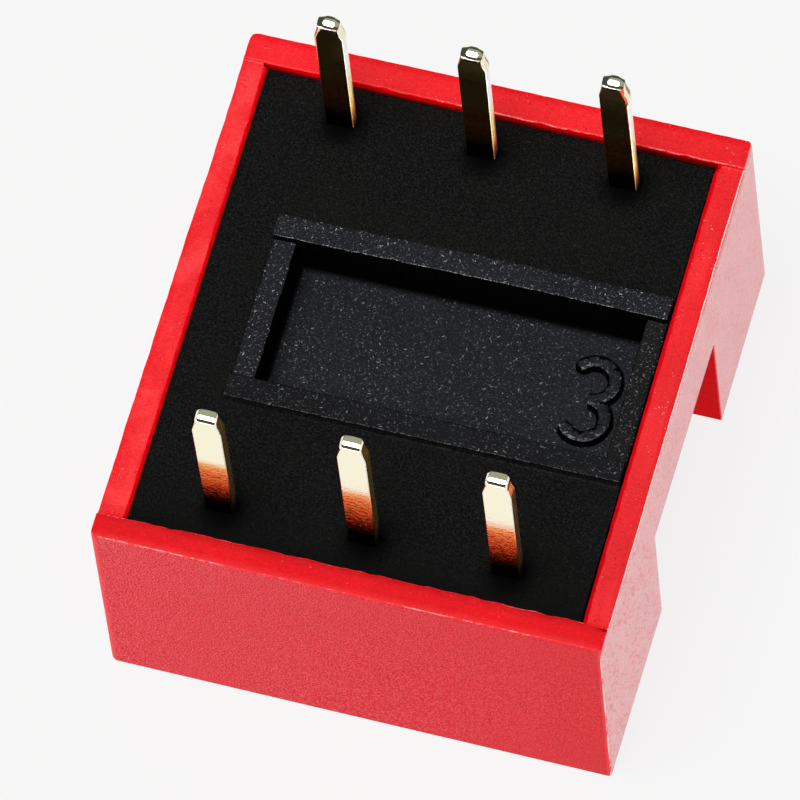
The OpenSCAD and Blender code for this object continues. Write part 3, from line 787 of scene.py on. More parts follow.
def gold_edge():
    """Corners along the fronts of the pins: pale high up as a painted highlight, dark low down as painted shade."""
    m, b, n = start("pin_edge", 0.35)
    x, y, z = n.sep(n.obj)
    zz = n.math("MULTIPLY", z, 100.0)
    grit = n.noise(n.obj, 16000, 3, 0.7)
    long = n.noise(n.mapping((1, 1, 0.3)), 5200, 2, 0.6)
    rear = n.ramp(n.math("MULTIPLY_ADD", y, 100.0, 0.5), [(0.49, 0.0), (0.51, 1.0)])
    wave = n.math("ADD", zz, n.math("MULTIPLY_ADD", grit, 0.06, -0.03))
    # painted highlight and shade on the front pins: the edges run from near black low down through red-brown and
    # orange to pale cream high up
    front = n.ramp(wave, [(0.585, (0.004, 0.002, 0.001)), (0.615, (0.30, 0.04, 0.006)), (0.64, (0.80, 0.17, 0.04)),
                          (0.67, (1.0, 0.38, 0.18)), (0.70, (1.0, 0.80, 0.62)), (0.72, (1.0, 0.96, 0.88))])
    # painted reflection and shade on the rear pins: dark brown to orange high on the left pin, near black on the other
    # pins and low down, and bright orange-red high on the right edge of the right pin
    rear_edge_colour = n.mix(n.ramp(long, [(0.46, 0.0), (0.60, 1.0)]), (0.050, 0.010, 0.003), (0.50, 0.13, 0.03))
    far = n.ramp(n.math("MULTIPLY_ADD", x, 1000.0, 3.5), [(0.70, 0.0), (0.75, 0.93)])
    far = n.math("MAXIMUM", far, n.ramp(zz, [(0.62, 1.0), (0.72, 0.0)]))
    rear_edge_colour = n.mix(far, rear_edge_colour, (0.016, 0.004, 0.002))
    hot = n.times(n.ramp(n.math("MULTIPLY_ADD", x, 100.0, 0.5), [(0.76, 0.0), (0.765, 1.0)]),
                  n.ramp(zz, [(0.805, 0.0), (0.815, 1.0)]))
    rear_edge_colour = n.mix(hot, rear_edge_colour, (1.0, 0.16, 0.05))
    n.put(b.inputs["Base Color"], n.mix(rear, front, rear_edge_colour))
    n.put(b.inputs["Roughness"], n.ramp(grit, [(0.3, 0.35), (0.7, 0.6)]))
    n.put(b.inputs["Normal"], n.bump(grit, 0.000006, 0.8))
    return m


def white_plastic():
    m, b, n = start("slider_white", 0.5)
    x, y, z = n.sep(n.obj)
    big = n.noise(n.obj, 900, 3, 0.5)
    fine = n.noise(n.obj, 15000, 3, 0.65)
    col = n.mix(big, (0.80, 0.79, 0.75), (0.88, 0.88, 0.85))
    scuff = n.strokes(3000, 0.00012, 0.000007, 1.4, 0.5, 0.4, 0.2, (0, 1))
    col = n.mix(n.times(scuff, n.ramp(big, [(0.4, 0.1), (0.6, 0.5)])), col, (0.45, 0.43, 0.39))
    n.put(b.inputs["Base Color"], col)
    n.put(b.inputs["Roughness"], n.ramp(fine, [(0.3, 0.32), (0.7, 0.48)]))
    n.put(b.inputs["Normal"], n.bump(fine, 0.000008, 0.5))
    return m


def figure_paint():
    """White filling in the figures of the rail faces."""
    m, b, n = start("figure_white", 0.4)
    big = n.noise(n.obj, 2600, 3, 0.6)
    fine = n.noise(n.obj, 22000, 3, 0.7)
    col = n.mix(n.ramp(big, [(0.35, 0.0), (0.65, 1.0)]), (0.78, 0.76, 0.73), (0.88, 0.87, 0.85))
    col = n.mix(n.ramp(fine, [(0.66, 0.0), (0.78, 0.6)]), col, (0.80, 0.10, 0.09))
    n.put(b.inputs["Base Color"], col)
    n.put(b.inputs["Roughness"], n.ramp(fine, [(0.3, 0.45), (0.7, 0.65)]))
    n.put(b.inputs["Normal"], n.bump(fine, 0.000010, 0.7))
    return m


RIM, FACE, END, LIP, DULL, EDGE = red_rim(), red_face(), red_end(), red_lip(), red_dull(), red_edge()
STRIP = red_strip()
BLACK, FRAME, WALL, SIDE = black_base(), black_frame(), black_wall(), black_side()
GOLD, SHEAR, PIN_EDGE_BURR_AND_HIGHLIGHT, WHITE, PAINT = gold_face(), gold_side(), gold_edge(), white_plastic(), figure_paint()


# -------------------------------------------------------------------- cover
def bar_outline(p, q, w, n=10):
    """A stroke with round ends, as one outline."""
    p, q = Vector(p), Vector(q)
    a0 = math.atan2(q.y - p.y, q.x - p.x)
    pts = []
    for c, a in ((q, a0 - math.pi / 2), (p, a0 + math.pi / 2)):
        pts += [(c.x + w / 2 * math.cos(a + math.pi * k / n), c.y + w / 2 * math.sin(a + math.pi * k / n))
                for k in range(n + 1)]
    return pts


def arc_outline(c, r, w, a0, a1, n=40):
    """Part of a ring with round ends, as one outline; angles in degrees."""
    a0, a1 = math.radians(a0), math.radians(a1)
    pts = [(c[0] + (r + w / 2) * math.cos(a0 + (a1 - a0) * k / n),
            c[1] + (r + w / 2) * math.sin(a0 + (a1 - a0) * k / n)) for k in range(n + 1)]
    for m, s, back in ((a1, 1, False), (a0, -1, True)):
        e = (c[0] + r * math.cos(m), c[1] + r * math.sin(m))
        start_a = m if not back else m + math.pi
        pts += [(e[0] + w / 2 * math.cos(start_a + math.pi * k / 10),
                 e[1] + w / 2 * math.sin(start_a + math.pi * k / 10)) for k in range(1, 10)]
        if not back:
            pts += [(c[0] + (r - w / 2) * math.cos(a1 + (a0 - a1) * k / n),
                     c[1] + (r - w / 2) * math.sin(a1 + (a0 - a1) * k / n)) for k in range(n + 1)]
    return pts


def figures():
    """Outlines of the figures of the rail faces, in the row frame."""
    h, w = 0.72, 0.24
    r = 0.5 * h
    c35 = math.radians(35)
    figs = {
        "1": [bar_outline((0, -h), (0, h), w), bar_outline((0, h), (-0.35 * h, 0.66 * h), w)],
        "2": [arc_outline((0, h - r), r, w, -35, 165),
              bar_outline((r * math.cos(c35), h - r - r * math.sin(c35)), (-0.52 * h, -h), w),
              bar_outline((-0.52 * h, -h), (0.52 * h, -h), w)],
        "3": [arc_outline((0, h - r), r, w, -90, 140), arc_outline((0, r - h), r, w, -140, 90)],
    }
    out = [(pts, POS_X[i], -3.37) for i, k in enumerate("123") for pts in figs[k]]
    h = 0.66
    o = [(-0.75 * h, 0)]
    ring_r = 0.92 * h - 0.05
    out += [(arc_outline(o[0], ring_r, w, 2, 182, 60), 0, 3.52), (arc_outline(o[0], ring_r, w, 178, 366, 60), 0, 3.52)]
    for p, q in (((-0.5, -1), (-0.5, 1)), ((-0.5, 1), (0.5, -1)), ((0.5, -1), (0.5, 1))):
        pq = [(1.05 * h + u * h, v * (h - w / 2)) for u, v in (p, q)]
        out.append((bar_outline(pq[0], pq[1], w), 0, 3.52))
    return out


def cut_figures(ob):
    """Recess the figures 0.06 deep in the rail faces; their floors are painted."""
    cutters = bpy.data.collections.new("cutters")
    scene.collection.children.link(cutters)
    mats = list(ob.data.materials)
    paint = len(mats) - 1
    for k, (pts, x0, y0) in enumerate(figures()):
        bm = bmesh.new()
        top = 0.060 + 0.0004 * k
        rings = [[bm.verts.new(((x0 - x) * MM, (y0 + y) * MM, z * MM)) for x, y in pts] for z in (-0.05, top)]
        n = len(pts)
        for i in range(n):
            j = (i + 1) % n
            bm.faces.new((rings[0][i], rings[0][j], rings[1][j], rings[1][i]))
        bm.faces.new(rings[0])
        bm.faces.new(rings[1]).material_index = paint
        bmesh.ops.recalc_face_normals(bm, faces=bm.faces)
        me = bpy.data.meshes.new("cutter")
        bm.to_mesh(me)
        bm.free()
        for m in mats:
            me.materials.append(m)
        cutters.objects.link(bpy.data.objects.new("cutter", me))
    mod = ob.modifiers.new("figures", "BOOLEAN")
    mod.operation = "DIFFERENCE"
    mod.solver = "EXACT"
    mod.operand_type = "COLLECTION"
    mod.collection = cutters
    mod.use_self = True
    dg = bpy.context.evaluated_depsgraph_get()
    new = bpy.data.meshes.new_from_object(ob.evaluated_get(dg))
    ob.modifiers.clear()
    old, ob.data = ob.data, new
    new.name = old.name
    for o in list(cutters.objects):
        bpy.data.objects.remove(o)
    bpy.data.collections.remove(cutters)


def cover():
    slot0, slot1 = 0.15 - 1.525, 0.15 + 1.525
    ox, oy = 4.6, 5.05
    xs = lines([-ox + 0.16, -IN_X - 0.055, -IN_X, -IN_X + 0.08, IN_X - 0.08, IN_X, IN_X + 0.075,
                ox - 0.16] + [x + d for x in POS_X for d in (-0.7, 0.7)], 0.1)
    ys = lines([-oy + 0.16, -IN_Y - 0.08, -IN_Y, -IN_Y + 0.08, -2.19, TROUGH[0], slot0, slot1,
                TROUGH[1], 2.49, IN_Y - 0.08, IN_Y, IN_Y + 0.035, IN_Y + 0.08, oy - 0.16], 0.1)
    xs = np.concatenate([[-ox], xs, [ox]])
    ys = np.concatenate([[-oy], ys, [oy]])
    zs = lines([0, 0.08, 0.5, TROUGH_Z - 0.08, TROUGH_Z, FLOOR_Z, END_RIM - 0.3, END_RIM - 0.12,
                END_RIM, H], 0.2)

    def solid(x, y, z):
        s = np.ones(x.shape, bool)
        inx, iny = abs(x) < IN_X, abs(y) < IN_Y
        s &= ~(inx & iny & (z > FLOOR_Z))
        s &= ~(inx & (y > -IN_Y) & (y < -2.19) & (z > 0.5))
        s &= ~(inx & (y < IN_Y) & (y > 2.49) & (z > 0.5))
        s &= ~((y > TROUGH[0]) & (y < TROUGH[1]) & (z < TROUGH_Z))
        s &= ~(~inx & iny & (z > END_RIM))
        for px in POS_X:
            s &= ~((abs(x - px) < 0.7) & (y > slot0) & (y < slot1) & (z < FLOOR_Z))
        return s

    bm = to_bmesh(*grid_solid(xs, ys, zs, solid))
    # chamfer inside the end rims
    for v in bm.verts:
        x, y, z = v.co
        if abs(abs(x) - IN_X) < 1e-4 and abs(z - END_RIM) < 1e-4 and abs(y) < IN_Y + 1e-4:
            v.co.z -= 0.055 if x < 0 else 0.075
    bm.normal_update()
    for sx, sy, r in ((-1, 1, 0.14), (-1, -1, 0.13), (1, -1, 0.06), (1, 1, 0.07)):
        bevel(bm, [e for e in bm.edges
                   if all(abs(v.co.x - ox * sx) < 1e-4 and abs(v.co.y - oy * sy) < 1e-4
                          for v in e.verts)], r, 4)
    burr_and_highlight = bm.faces.layers.float.new("burr_and_highlight")
    bmesh.ops.remove_doubles(bm, verts=bm.verts, dist=1e-4)
    bm.normal_update()
    res = bmesh.ops.bevel(bm, geom=sharp_edges(bm, 0.6), offset=0.018, offset_type="OFFSET",
                          segments=2, profile=0.5, affect="EDGES", clamp_overlap=True)
    rounded = set(res["faces"])
    bm.normal_update()
    RIM_I, FACE_I, END_I, LIP_I, DULL_I, EDGE_I, STRIP_I = range(7)
    for f in bm.faces:
        c, q = f.calc_center_median(), f.normal
        upright = abs(q.z) < 0.3 and abs(q.x) > 0.12 and abs(q.y) > 0.12 and abs(c.x) > 4.3 and abs(c.y) > 4.8
        inner = abs(c.x) < IN_X + 0.11 and abs(c.y) < IN_Y and c.z > 4.85
        if f in rounded and not upright and not inner:
            f.material_index = EDGE_I
            # attribute values for pale burrs with painted highlights: strongest along the front edges and round the
            # right end
            v = 0.15
            if c.z > 5.09:
                if c.y < -5.0:
                    v = 0.84
                elif abs(c.y + IN_Y) < 0.05:
                    v = 0.55 if c.x < 3.9 else 0.85
                elif abs(c.y - IN_Y) < 0.05:
                    v = -0.2 if c.x < -IN_X else 0.5 if c.x < -1 else 0.85
                elif c.x > 4.5:
                    v = 0.9 if c.y < 0 else 0.35
                else:
                    v = 0.1
            elif c.x > 4.54 and END_RIM - 0.05 < c.z < END_RIM + 0.02 and abs(c.y) < IN_Y:
                v = 1.35
            elif c.z > 4.9:
                v = 0.3 if c.x > 0 else 0.1
            f[burr_and_highlight] = v
        elif upright:
            f.material_index = EDGE_I
            # painted highlight: a pale line down the front right corner
            f[burr_and_highlight] = 1.15 if c.x > 0 and c.y < 0 and q.x > 0.72 else -0.2
        elif abs(q.y) > 0.9 and abs(c.y) > 4.95:
            f.material_index = FACE_I
        elif abs(q.x) > 0.9 and abs(c.x) > 4.5:
            f.material_index = END_I
        elif q.z > 0.9 and c.z > 5.09 and c.y < 0:
            f.material_index = STRIP_I
        elif (q.z > 0.9 and c.z > 4.9) or (q.z < -0.9 and c.z < 0.02):
            f.material_index = RIM_I
        elif c.z > 4.85:
            f.material_index = LIP_I
        else:
            f.material_index = DULL_I
    co = co_array(bm)
    x, y, z = co.T
    # uneven edges of the rims
    rim = smoothstep(0.10, 0.0, abs(z - np.where(abs(y) > IN_Y - 0.01, H, END_RIM)))
    wave = fbm(co, 4.5, 3.0, 3)
    wave2 = fbm(co, 4.5, 11.0, 3)
    in_edge = rim * smoothstep(0.06, 0.0, abs(abs(y) - IN_Y)) * (abs(x) < IN_X)
    co[:, 1] += np.sign(y) * in_edge * 0.022 * wave
    co[:, 2] += in_edge * np.where(y > 0, 0.003, 0.012) * wave2
    out_edge = rim * np.maximum(smoothstep(0.05, 0.0, oy - abs(y)), smoothstep(0.05, 0.0, ox - abs(x)))
    co[:, 2] += out_edge * 0.003 * wave2
    # the cavity sits a little towards the front
    shift = smoothstep(0.07, 0.04, abs(abs(y) - IN_Y)) * ((abs(x) < IN_X + 0.001) | (z > END_RIM - 0.05))
    co[:, 1] -= shift * np.where(y < 0, np.interp(x, (-4.6, -4.05, -3.0, 4.0, 4.6), (0.056, 0.046, 0.030, 0.032, 0.085)),
                                 0.043 - np.interp(z, (4.90, 5.13), (1, 0))
                                 * (0.043 + np.interp(x, (-4, -2, 0, 1, 2.5, 4), (0.003, -0.005, 0.003, 0.007, 0.021, 0.030))))
    # the edges of the chamfers inside the end rims wander
    cham = smoothstep(0.14, 0.0, END_RIM - z) * smoothstep(0.05, 0.0, abs(abs(x) - IN_X - 0.065)) * (abs(y) < IN_Y - 0.1)
    foot = smoothstep(0.05, 0.0, abs(z - END_RIM + 0.065)) * smoothstep(0.04, 0.0, abs(abs(x) - IN_X)) * (abs(y) < IN_Y - 0.1)
    co[:, 0] += np.sign(x) * cham * 0.016 * wave2
    co[:, 2] += foot * 0.016 * wave
    # the rim of the left end climbs to meet the rear rail
    co[:, 2] += 0.070 * smoothstep(3.5, 4.5, y) * (x < -IN_X + 0.01) * (y < IN_Y + 0.01) \
        * smoothstep(4.88, 4.98, z) * (z < END_RIM + 0.03)
    # the rims of the end walls are pushed inwards a little
    lip = smoothstep(4.90, 4.96, z) * smoothstep(0.13, 0.09, abs(abs(x) - IN_X)) * smoothstep(4.46, 4.38, abs(y))
    co[:, 0] -= lip * np.where(x > 0, np.interp(y, (-4.4, -3.2, -2, 4.4), (0.014, 0.022, 0.030, 0.034)), -0.020)
    # the walls lean in towards the rim, and the two rails aren't quite alike
    t = z / H
    right = (1 - t) * np.interp(y, (-5, -1.74, 2.04, 5), (4.488, 4.520, 4.592, 4.600)) \
        + t * np.interp(y, (-5, 5), (4.494, 4.532))
    right = right + np.where(y < -IN_Y + 0.01, 0.026 * smoothstep(4.9, 5.1, z), 0)
    right = right - t * rim * np.interp(y, (-4.4, -1, 1, 3, 4.4), (-0.033, -0.019, -0.011, 0.009, 0.007)) \
        * smoothstep(4.48, 4.40, abs(y))
    left = (1 - t) * 4.573 + t * np.interp(y, (-5, 1.0, 2.0, 5), (4.553, 4.521, 4.500, 4.480))
    back = (1 - t) * 5.048 + t * np.interp(x, (-4.5, 0), (4.988, 5.003))
    face = (1 - t) * np.interp(x, (-4.5, 4.5), (4.992, 5.036)) + t * 4.999
    wx = smoothstep(4.2, 4.55, abs(x))
    wy = smoothstep(4.6, 5.0, abs(y))
    co[:, 0] -= np.sign(x) * wx * (ox - np.where(x > 0, right, left) + out_edge * 0.008 * (1 - wave))
    co[:, 1] -= np.sign(y) * wy * (oy - np.where(y > 0, back, face) + out_edge * 0.006 * (1 - wave))
    set_co(bm, co)
    ob = finish_object("cover_shell", bm, BODY, [RIM, FACE, END, LIP, DULL, EDGE, STRIP, PAINT], False)
    cut_figures(ob)
    weigh(ob, 100)
    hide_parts("cover")


# --------------------------------------------------------------------- base
def base():
    fx0, fx1, fy0, fy1 = -3.045, 3.985, -1.87, 1.75
    px0, px1, py0, py1 = -2.645, 3.62, -1.44, 1.32
    long_h, end_h = 0.21, 0.03
    bx1 = 3.998
    bx, by = IN_X - 0.03, IN_Y - 0.04
    hx, hy = 0.257, 0.127
    hole_x = [x + d for x in POS_X for d in (-hx, hx)]
    xs = lines([-bx, fx0, fx0 + 0.06, px0 - 0.06, px0, px1, px1 + 0.06, fx1 - 0.06, fx1, bx1] + hole_x
               + [x + d for x in POS_X for d in (-0.62, 0.62)] + [-1.47, -1.07, 1.07, 1.47], 0.1)
    ys = lines([-by, fy0, fy0 + 0.06, py0 - 0.06, py0, py1, py1 + 0.06, fy1 - 0.06, fy1, by,
                -ROW - hy, -ROW + hy, ROW - hy, ROW + hy,
                -3.3, -2.7, 3.0, 3.6, -2.2, 2.5, 0.14, 1.08], 0.1)
    zs = lines([0.7, FLOOR_Z + 0.03, UNDER_Z, 3.99, POCKET, POCKET + 0.1, BASE - 0.1, BASE, BASE + end_h,
                BASE + 0.12, BASE + long_h], 0.5)

    def inside(v, a, b):
        return (v > a) & (v < b)

    def solid(x, y, z):
        s = inside(x, -bx, bx1) & (abs(y) < by) & inside(z, UNDER_Z, BASE)
        fr = inside(x, fx0, fx1) & inside(y, fy0, fy1)
        pk = inside(x, px0, px1) & inside(y, py0, py1)
        long_bar = fr & ~inside(y, py0, py1)
        s |= long_bar & inside(z, BASE, BASE + long_h)
        s |= fr & ~long_bar & ~pk & inside(z, BASE, BASE + end_h)
        s &= ~(pk & (z > POCKET))
        for c in (-1.27, 1.27):
            s |= (abs(x - c) < 0.2) & inside(y, -2.2, 2.5) & inside(z, FLOOR_Z + 0.03, UNDER_Z)
        for a, b in ((-3.3, -2.7), (3.0, 3.6)):
            s |= (abs(x) < IN_X - 0.1) & inside(y, a, b) & inside(z, 0.7, UNDER_Z)
        for px in POS_X:
            arm = abs(x - px) < 0.62
            s &= ~(arm & inside(y, -ROW - hy, 0.14) & inside(z, UNDER_Z, 3.99))
            s &= ~(arm & inside(y, 1.08, ROW + hy) & inside(z, UNDER_Z, 3.99))
            s &= ~((abs(x - px) < hx) & (inside(y, -ROW - hy, -ROW + hy) | inside(y, ROW - hy, ROW + hy))
                   & (z > UNDER_Z))
        return s

    bm = to_bmesh(*grid_solid(xs, ys, zs, solid))

    def bevelled(e):
        if min(v.co.z for v in e.verts) < POCKET + 1e-4:
            return False
        if max(v.co.z for v in e.verts) < BASE + 0.05 and any(
                abs(v.co.x - fx0) < 1e-4 or abs(v.co.x - fx1) < 1e-4 for v in e.verts):
            return False
        return not any(abs(abs(v.co.y) - ROW) < 0.2 and any(abs(v.co.x - p) < 0.3 for p in POS_X)
                       for v in e.verts)

    bevel(bm, [e for e in sharp_edges(bm, 0.6) if bevelled(e)], 0.026, 3)
    bm.normal_update()
    lip = bm.faces.layers.float.new("lip")
    for f in bm.faces:
        c = f.calc_center_median()
        q = f.normal
        # painted shade: upright faces take the near-black wall finish, except the outer ones of the raised bars, which
        # take the side finish
        if abs(q.z) < 0.3:
            f.material_index = 3 if c.z > BASE - 0.01 and not (py0 - 0.1 < c.y < py1 + 0.1) else 2
        elif fx0 - 0.01 < c.x < fx1 + 0.01 and fy0 - 0.01 < c.y < fy1 + 0.01 and c.z > POCKET - 0.01 \
                and (c.z > BASE + 0.012 or c.z < BASE - 0.02) and q.z > 0.3:
            f.material_index = 1
            # the edges that face the front carry broken fibres, and painted highlights on them
            if q.y < -0.25 and c.z > BASE + 0.05:
                f[lip] = 1.0 if c.y > 0 else 0.35
            elif q.y < -0.06 and c.z > BASE + 0.05:
                f[lip] = 0.4
            # painted shade: bevels of the front bar that face back, and those of the right end that face left, take
            # the near-black wall finish
            elif (q.y > 0.25 and c.z > BASE + 0.05 and c.y < 0) or (q.x < -0.25 and c.x > 3.5):
                f.material_index = 2
    co = co_array(bm)
    x, y, z = co.T
    # the pocket walls lean in towards the floor
    d = 0.05 * np.clip((BASE - z) / (BASE - POCKET), 0, 1) * (z > POCKET - 0.01)
    in_pk = (abs(x - (px0 + px1) / 2) < (px1 - px0) / 2 + 1e-3) & (abs(y - (py0 + py1) / 2) < (py1 - py0) / 2 + 1e-3)
    co[:, 0] += d * in_pk * ((abs(x - px0) < 1e-3) * 1.0 - (abs(x - px1) < 1e-3) * 1.0)
    co[:, 1] += d * in_pk * ((abs(y - py0) < 1e-3) * 1.0 - (abs(y - py1) < 1e-3) * 1.0)
    # the rear bar isn't quite square with the rest
    co[:, 1] += np.interp(x, (-3, -2.2, -0.6, 1.2, 4), (-0.032, -0.030, -0.004, 0.021, 0.020)) * (z > BASE - 0.2) \
        * smoothstep(1.15, 1.25, y) * smoothstep(1.95, 1.80, y)
    co[:, 1] += np.interp(x, (-3, -2.2, 2.4, 4), (0.0, 0.004, 0.026, 0.034)) * (z > BASE + 0.01) \
        * smoothstep(-1.6, -1.75, y) * smoothstep(-2.1, -1.95, y)
    # uneven edges of the bars
    up = z > BASE + 0.03
    w1, w2 = fbm(co, 5.0, 5.0, 3), fbm(co, 5.0, 9.0, 3)
    w3 = fbm(co, 14.0, 21.0, 2)
    ey = smoothstep(0.05, 0.0, np.minimum.reduce([abs(y - v) for v in (fy0, py0, py1, fy1)])) * up
    ex = smoothstep(0.05, 0.0, np.minimum.reduce([abs(x - v) for v in (fx0, px0, px1, fx1)])) * (z > BASE + 0.01)
    co[:, 1] += ey * (0.018 * w1 + 0.010 * w3)
    co[:, 0] += ex * (0.014 * w2 + 0.010 * w3)
    co[:, 2] += (z > POCKET - 0.01) * 0.006 * w2
    set_co(bm, co)
    ob = finish_object("base_plate", bm, BODY, [BLACK, FRAME, WALL, SIDE])
    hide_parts("base")
    cavity_number()


def cavity_number():
    """The raised 3 in the pocket: a stroke with a rounded back."""
    h, w, r = 0.73, 0.24, 0.365
    path = []
    for k in range(49):                      # lower bowl, from its free end up
        a = math.radians(-140 + 230 * k / 48)
        path.append((r * math.cos(a), r - h + r * math.sin(a)))
    for k in range(1, 49):                   # upper bowl
        a = math.radians(-90 + 230 * k / 48)
        path.append((r * math.cos(a), h - r + r * math.sin(a)))
    path = [Vector((x + 2.93, y - 0.05, 0)) for x, y in path]
    bm = bmesh.new()
    prof = []                                # across the stroke: offset, height
    for k in range(13):
        a = math.pi * k / 12
        prof.append((-w / 2 * math.cos(a), 0.012 + 0.168 * math.sin(a) ** 0.32))
    prof = [(-w / 2 - 0.034, -0.05), (-w / 2 - 0.030, 0.012)] + prof + [(w / 2 + 0.030, 0.012), (w / 2 + 0.034, -0.05)]
    n = len(path)

    def add(p, t, scale):
        side = Vector((-t.y, t.x, 0))
        row = []
        for u, v in prof:
            q = p + side * u * scale
            g = 1 + 0.10 * noise.noise(Vector((q.x * 9, q.y * 9, 3.1)))
            row.append(bm.verts.new(q + side * u * 0.06 * noise.noise(Vector((p.x * 11, p.y * 11, 7.7)))
                                    + Vector((0, 0, POCKET + (v if v < 0 else v * g * min(1, scale * 1.2))))))
        return row

    rings = []
    for i, p in enumerate(path):
        t = (path[min(i + 1, n - 1)] - path[max(i - 1, 0)]).normalized()
        if i == n // 2:                      # the waist, where the bowls meet
            t = Vector((-1, 0.0, 0))
        if i == 0:
            for q in (0.99, 0.85, 0.55):
                rings.append(add(p - t * w / 2 * q, t, max(0.05, math.cos(math.asin(q)))))
        rings.append(add(p, t, 1.0))
        if i == n - 1:
            for q in (0.55, 0.85, 0.99):
                rings.append(add(p + t * w / 2 * q, t, max(0.05, math.cos(math.asin(q)))))
    for a, b in zip(rings, rings[1:]):
        for i in range(len(a)):
            j = (i + 1) % len(a)
            bm.faces.new((a[i], a[j], b[j], b[i]))
    bm.faces.new(rings[0])
    bm.faces.new(rings[-1])
    bmesh.ops.recalc_face_normals(bm, faces=bm.faces)
    bm.normal_update()
    lip = bm.faces.layers.float.new("lip")
    for f in bm.faces:
        # painted shade: the steep sides and the skirt round the foot take the near-black wall finish
        f.material_index = 0 if f.normal.z > 0.55 and f.calc_center_median().z > POCKET + 0.03 else 1
        # painted shade and highlight: the far slope of the stroke takes the near-black wall finish, and the near one
        # carries a painted dotted highlight
        slope = f.normal.y * 0.95 - f.normal.x * 0.3
        if slope > 0.22:
            f.material_index = 1
        elif f.material_index == 0 and slope < -0.20 and f.normal.z < 0.95:
            f[lip] = 0.75
    ob = finish_object("base_number", bm, BODY, [FRAME, WALL])


# ---------------------------------------------------------------- terminals
SU = {-1: (-1, -0.97, -0.94, -0.90, -0.85, -0.785, -0.773, -0.68, -0.58, -0.48, -0.38, -0.28, -0.18, -0.08, 0.02,
           0.12, 0.22, 0.32, 0.42, 0.52, 0.62, 0.72, 0.80, 0.862, 0.874, 0.90, 0.93, 0.96, 0.98, 1),
      1: [math.sin(math.pi / 2 * (i / 16)) for i in range(-16, 17)]}
SV = [-math.cos(math.pi * i / 60) for i in range(61)]


def half_width(v, a, b, r):
    t = max(0.0, abs(v) - (b - r))
    return a - r + math.sqrt(max(0.0, r * r - t * t))


def ring(a, b, r, row):
    """Rounded rectangle, half width a and half thickness b, corner radius r."""
    w = a - r
    side = [(half_width(v * b, a, b, r), v * b) for v in SV[1:-1]]
    return ([(s * w, -b) for s in SU[row]] + side + [(s * w, b) for s in reversed(SU[row])]
            + [(-u, v) for u, v in reversed(side)])


def slope_height(table, step=0.0025):
    """Height along a line whose slope in degrees is given at some places."""
    at = np.arange(table[0][0], table[-1][0] + step / 2, step)
    t = np.tan(np.radians(np.interp(at, [p[0] for p in table], [p[1] for p in table])))
    return at, np.concatenate([[0], np.cumsum((t[1:] + t[:-1]) / 2 * np.diff(at))])


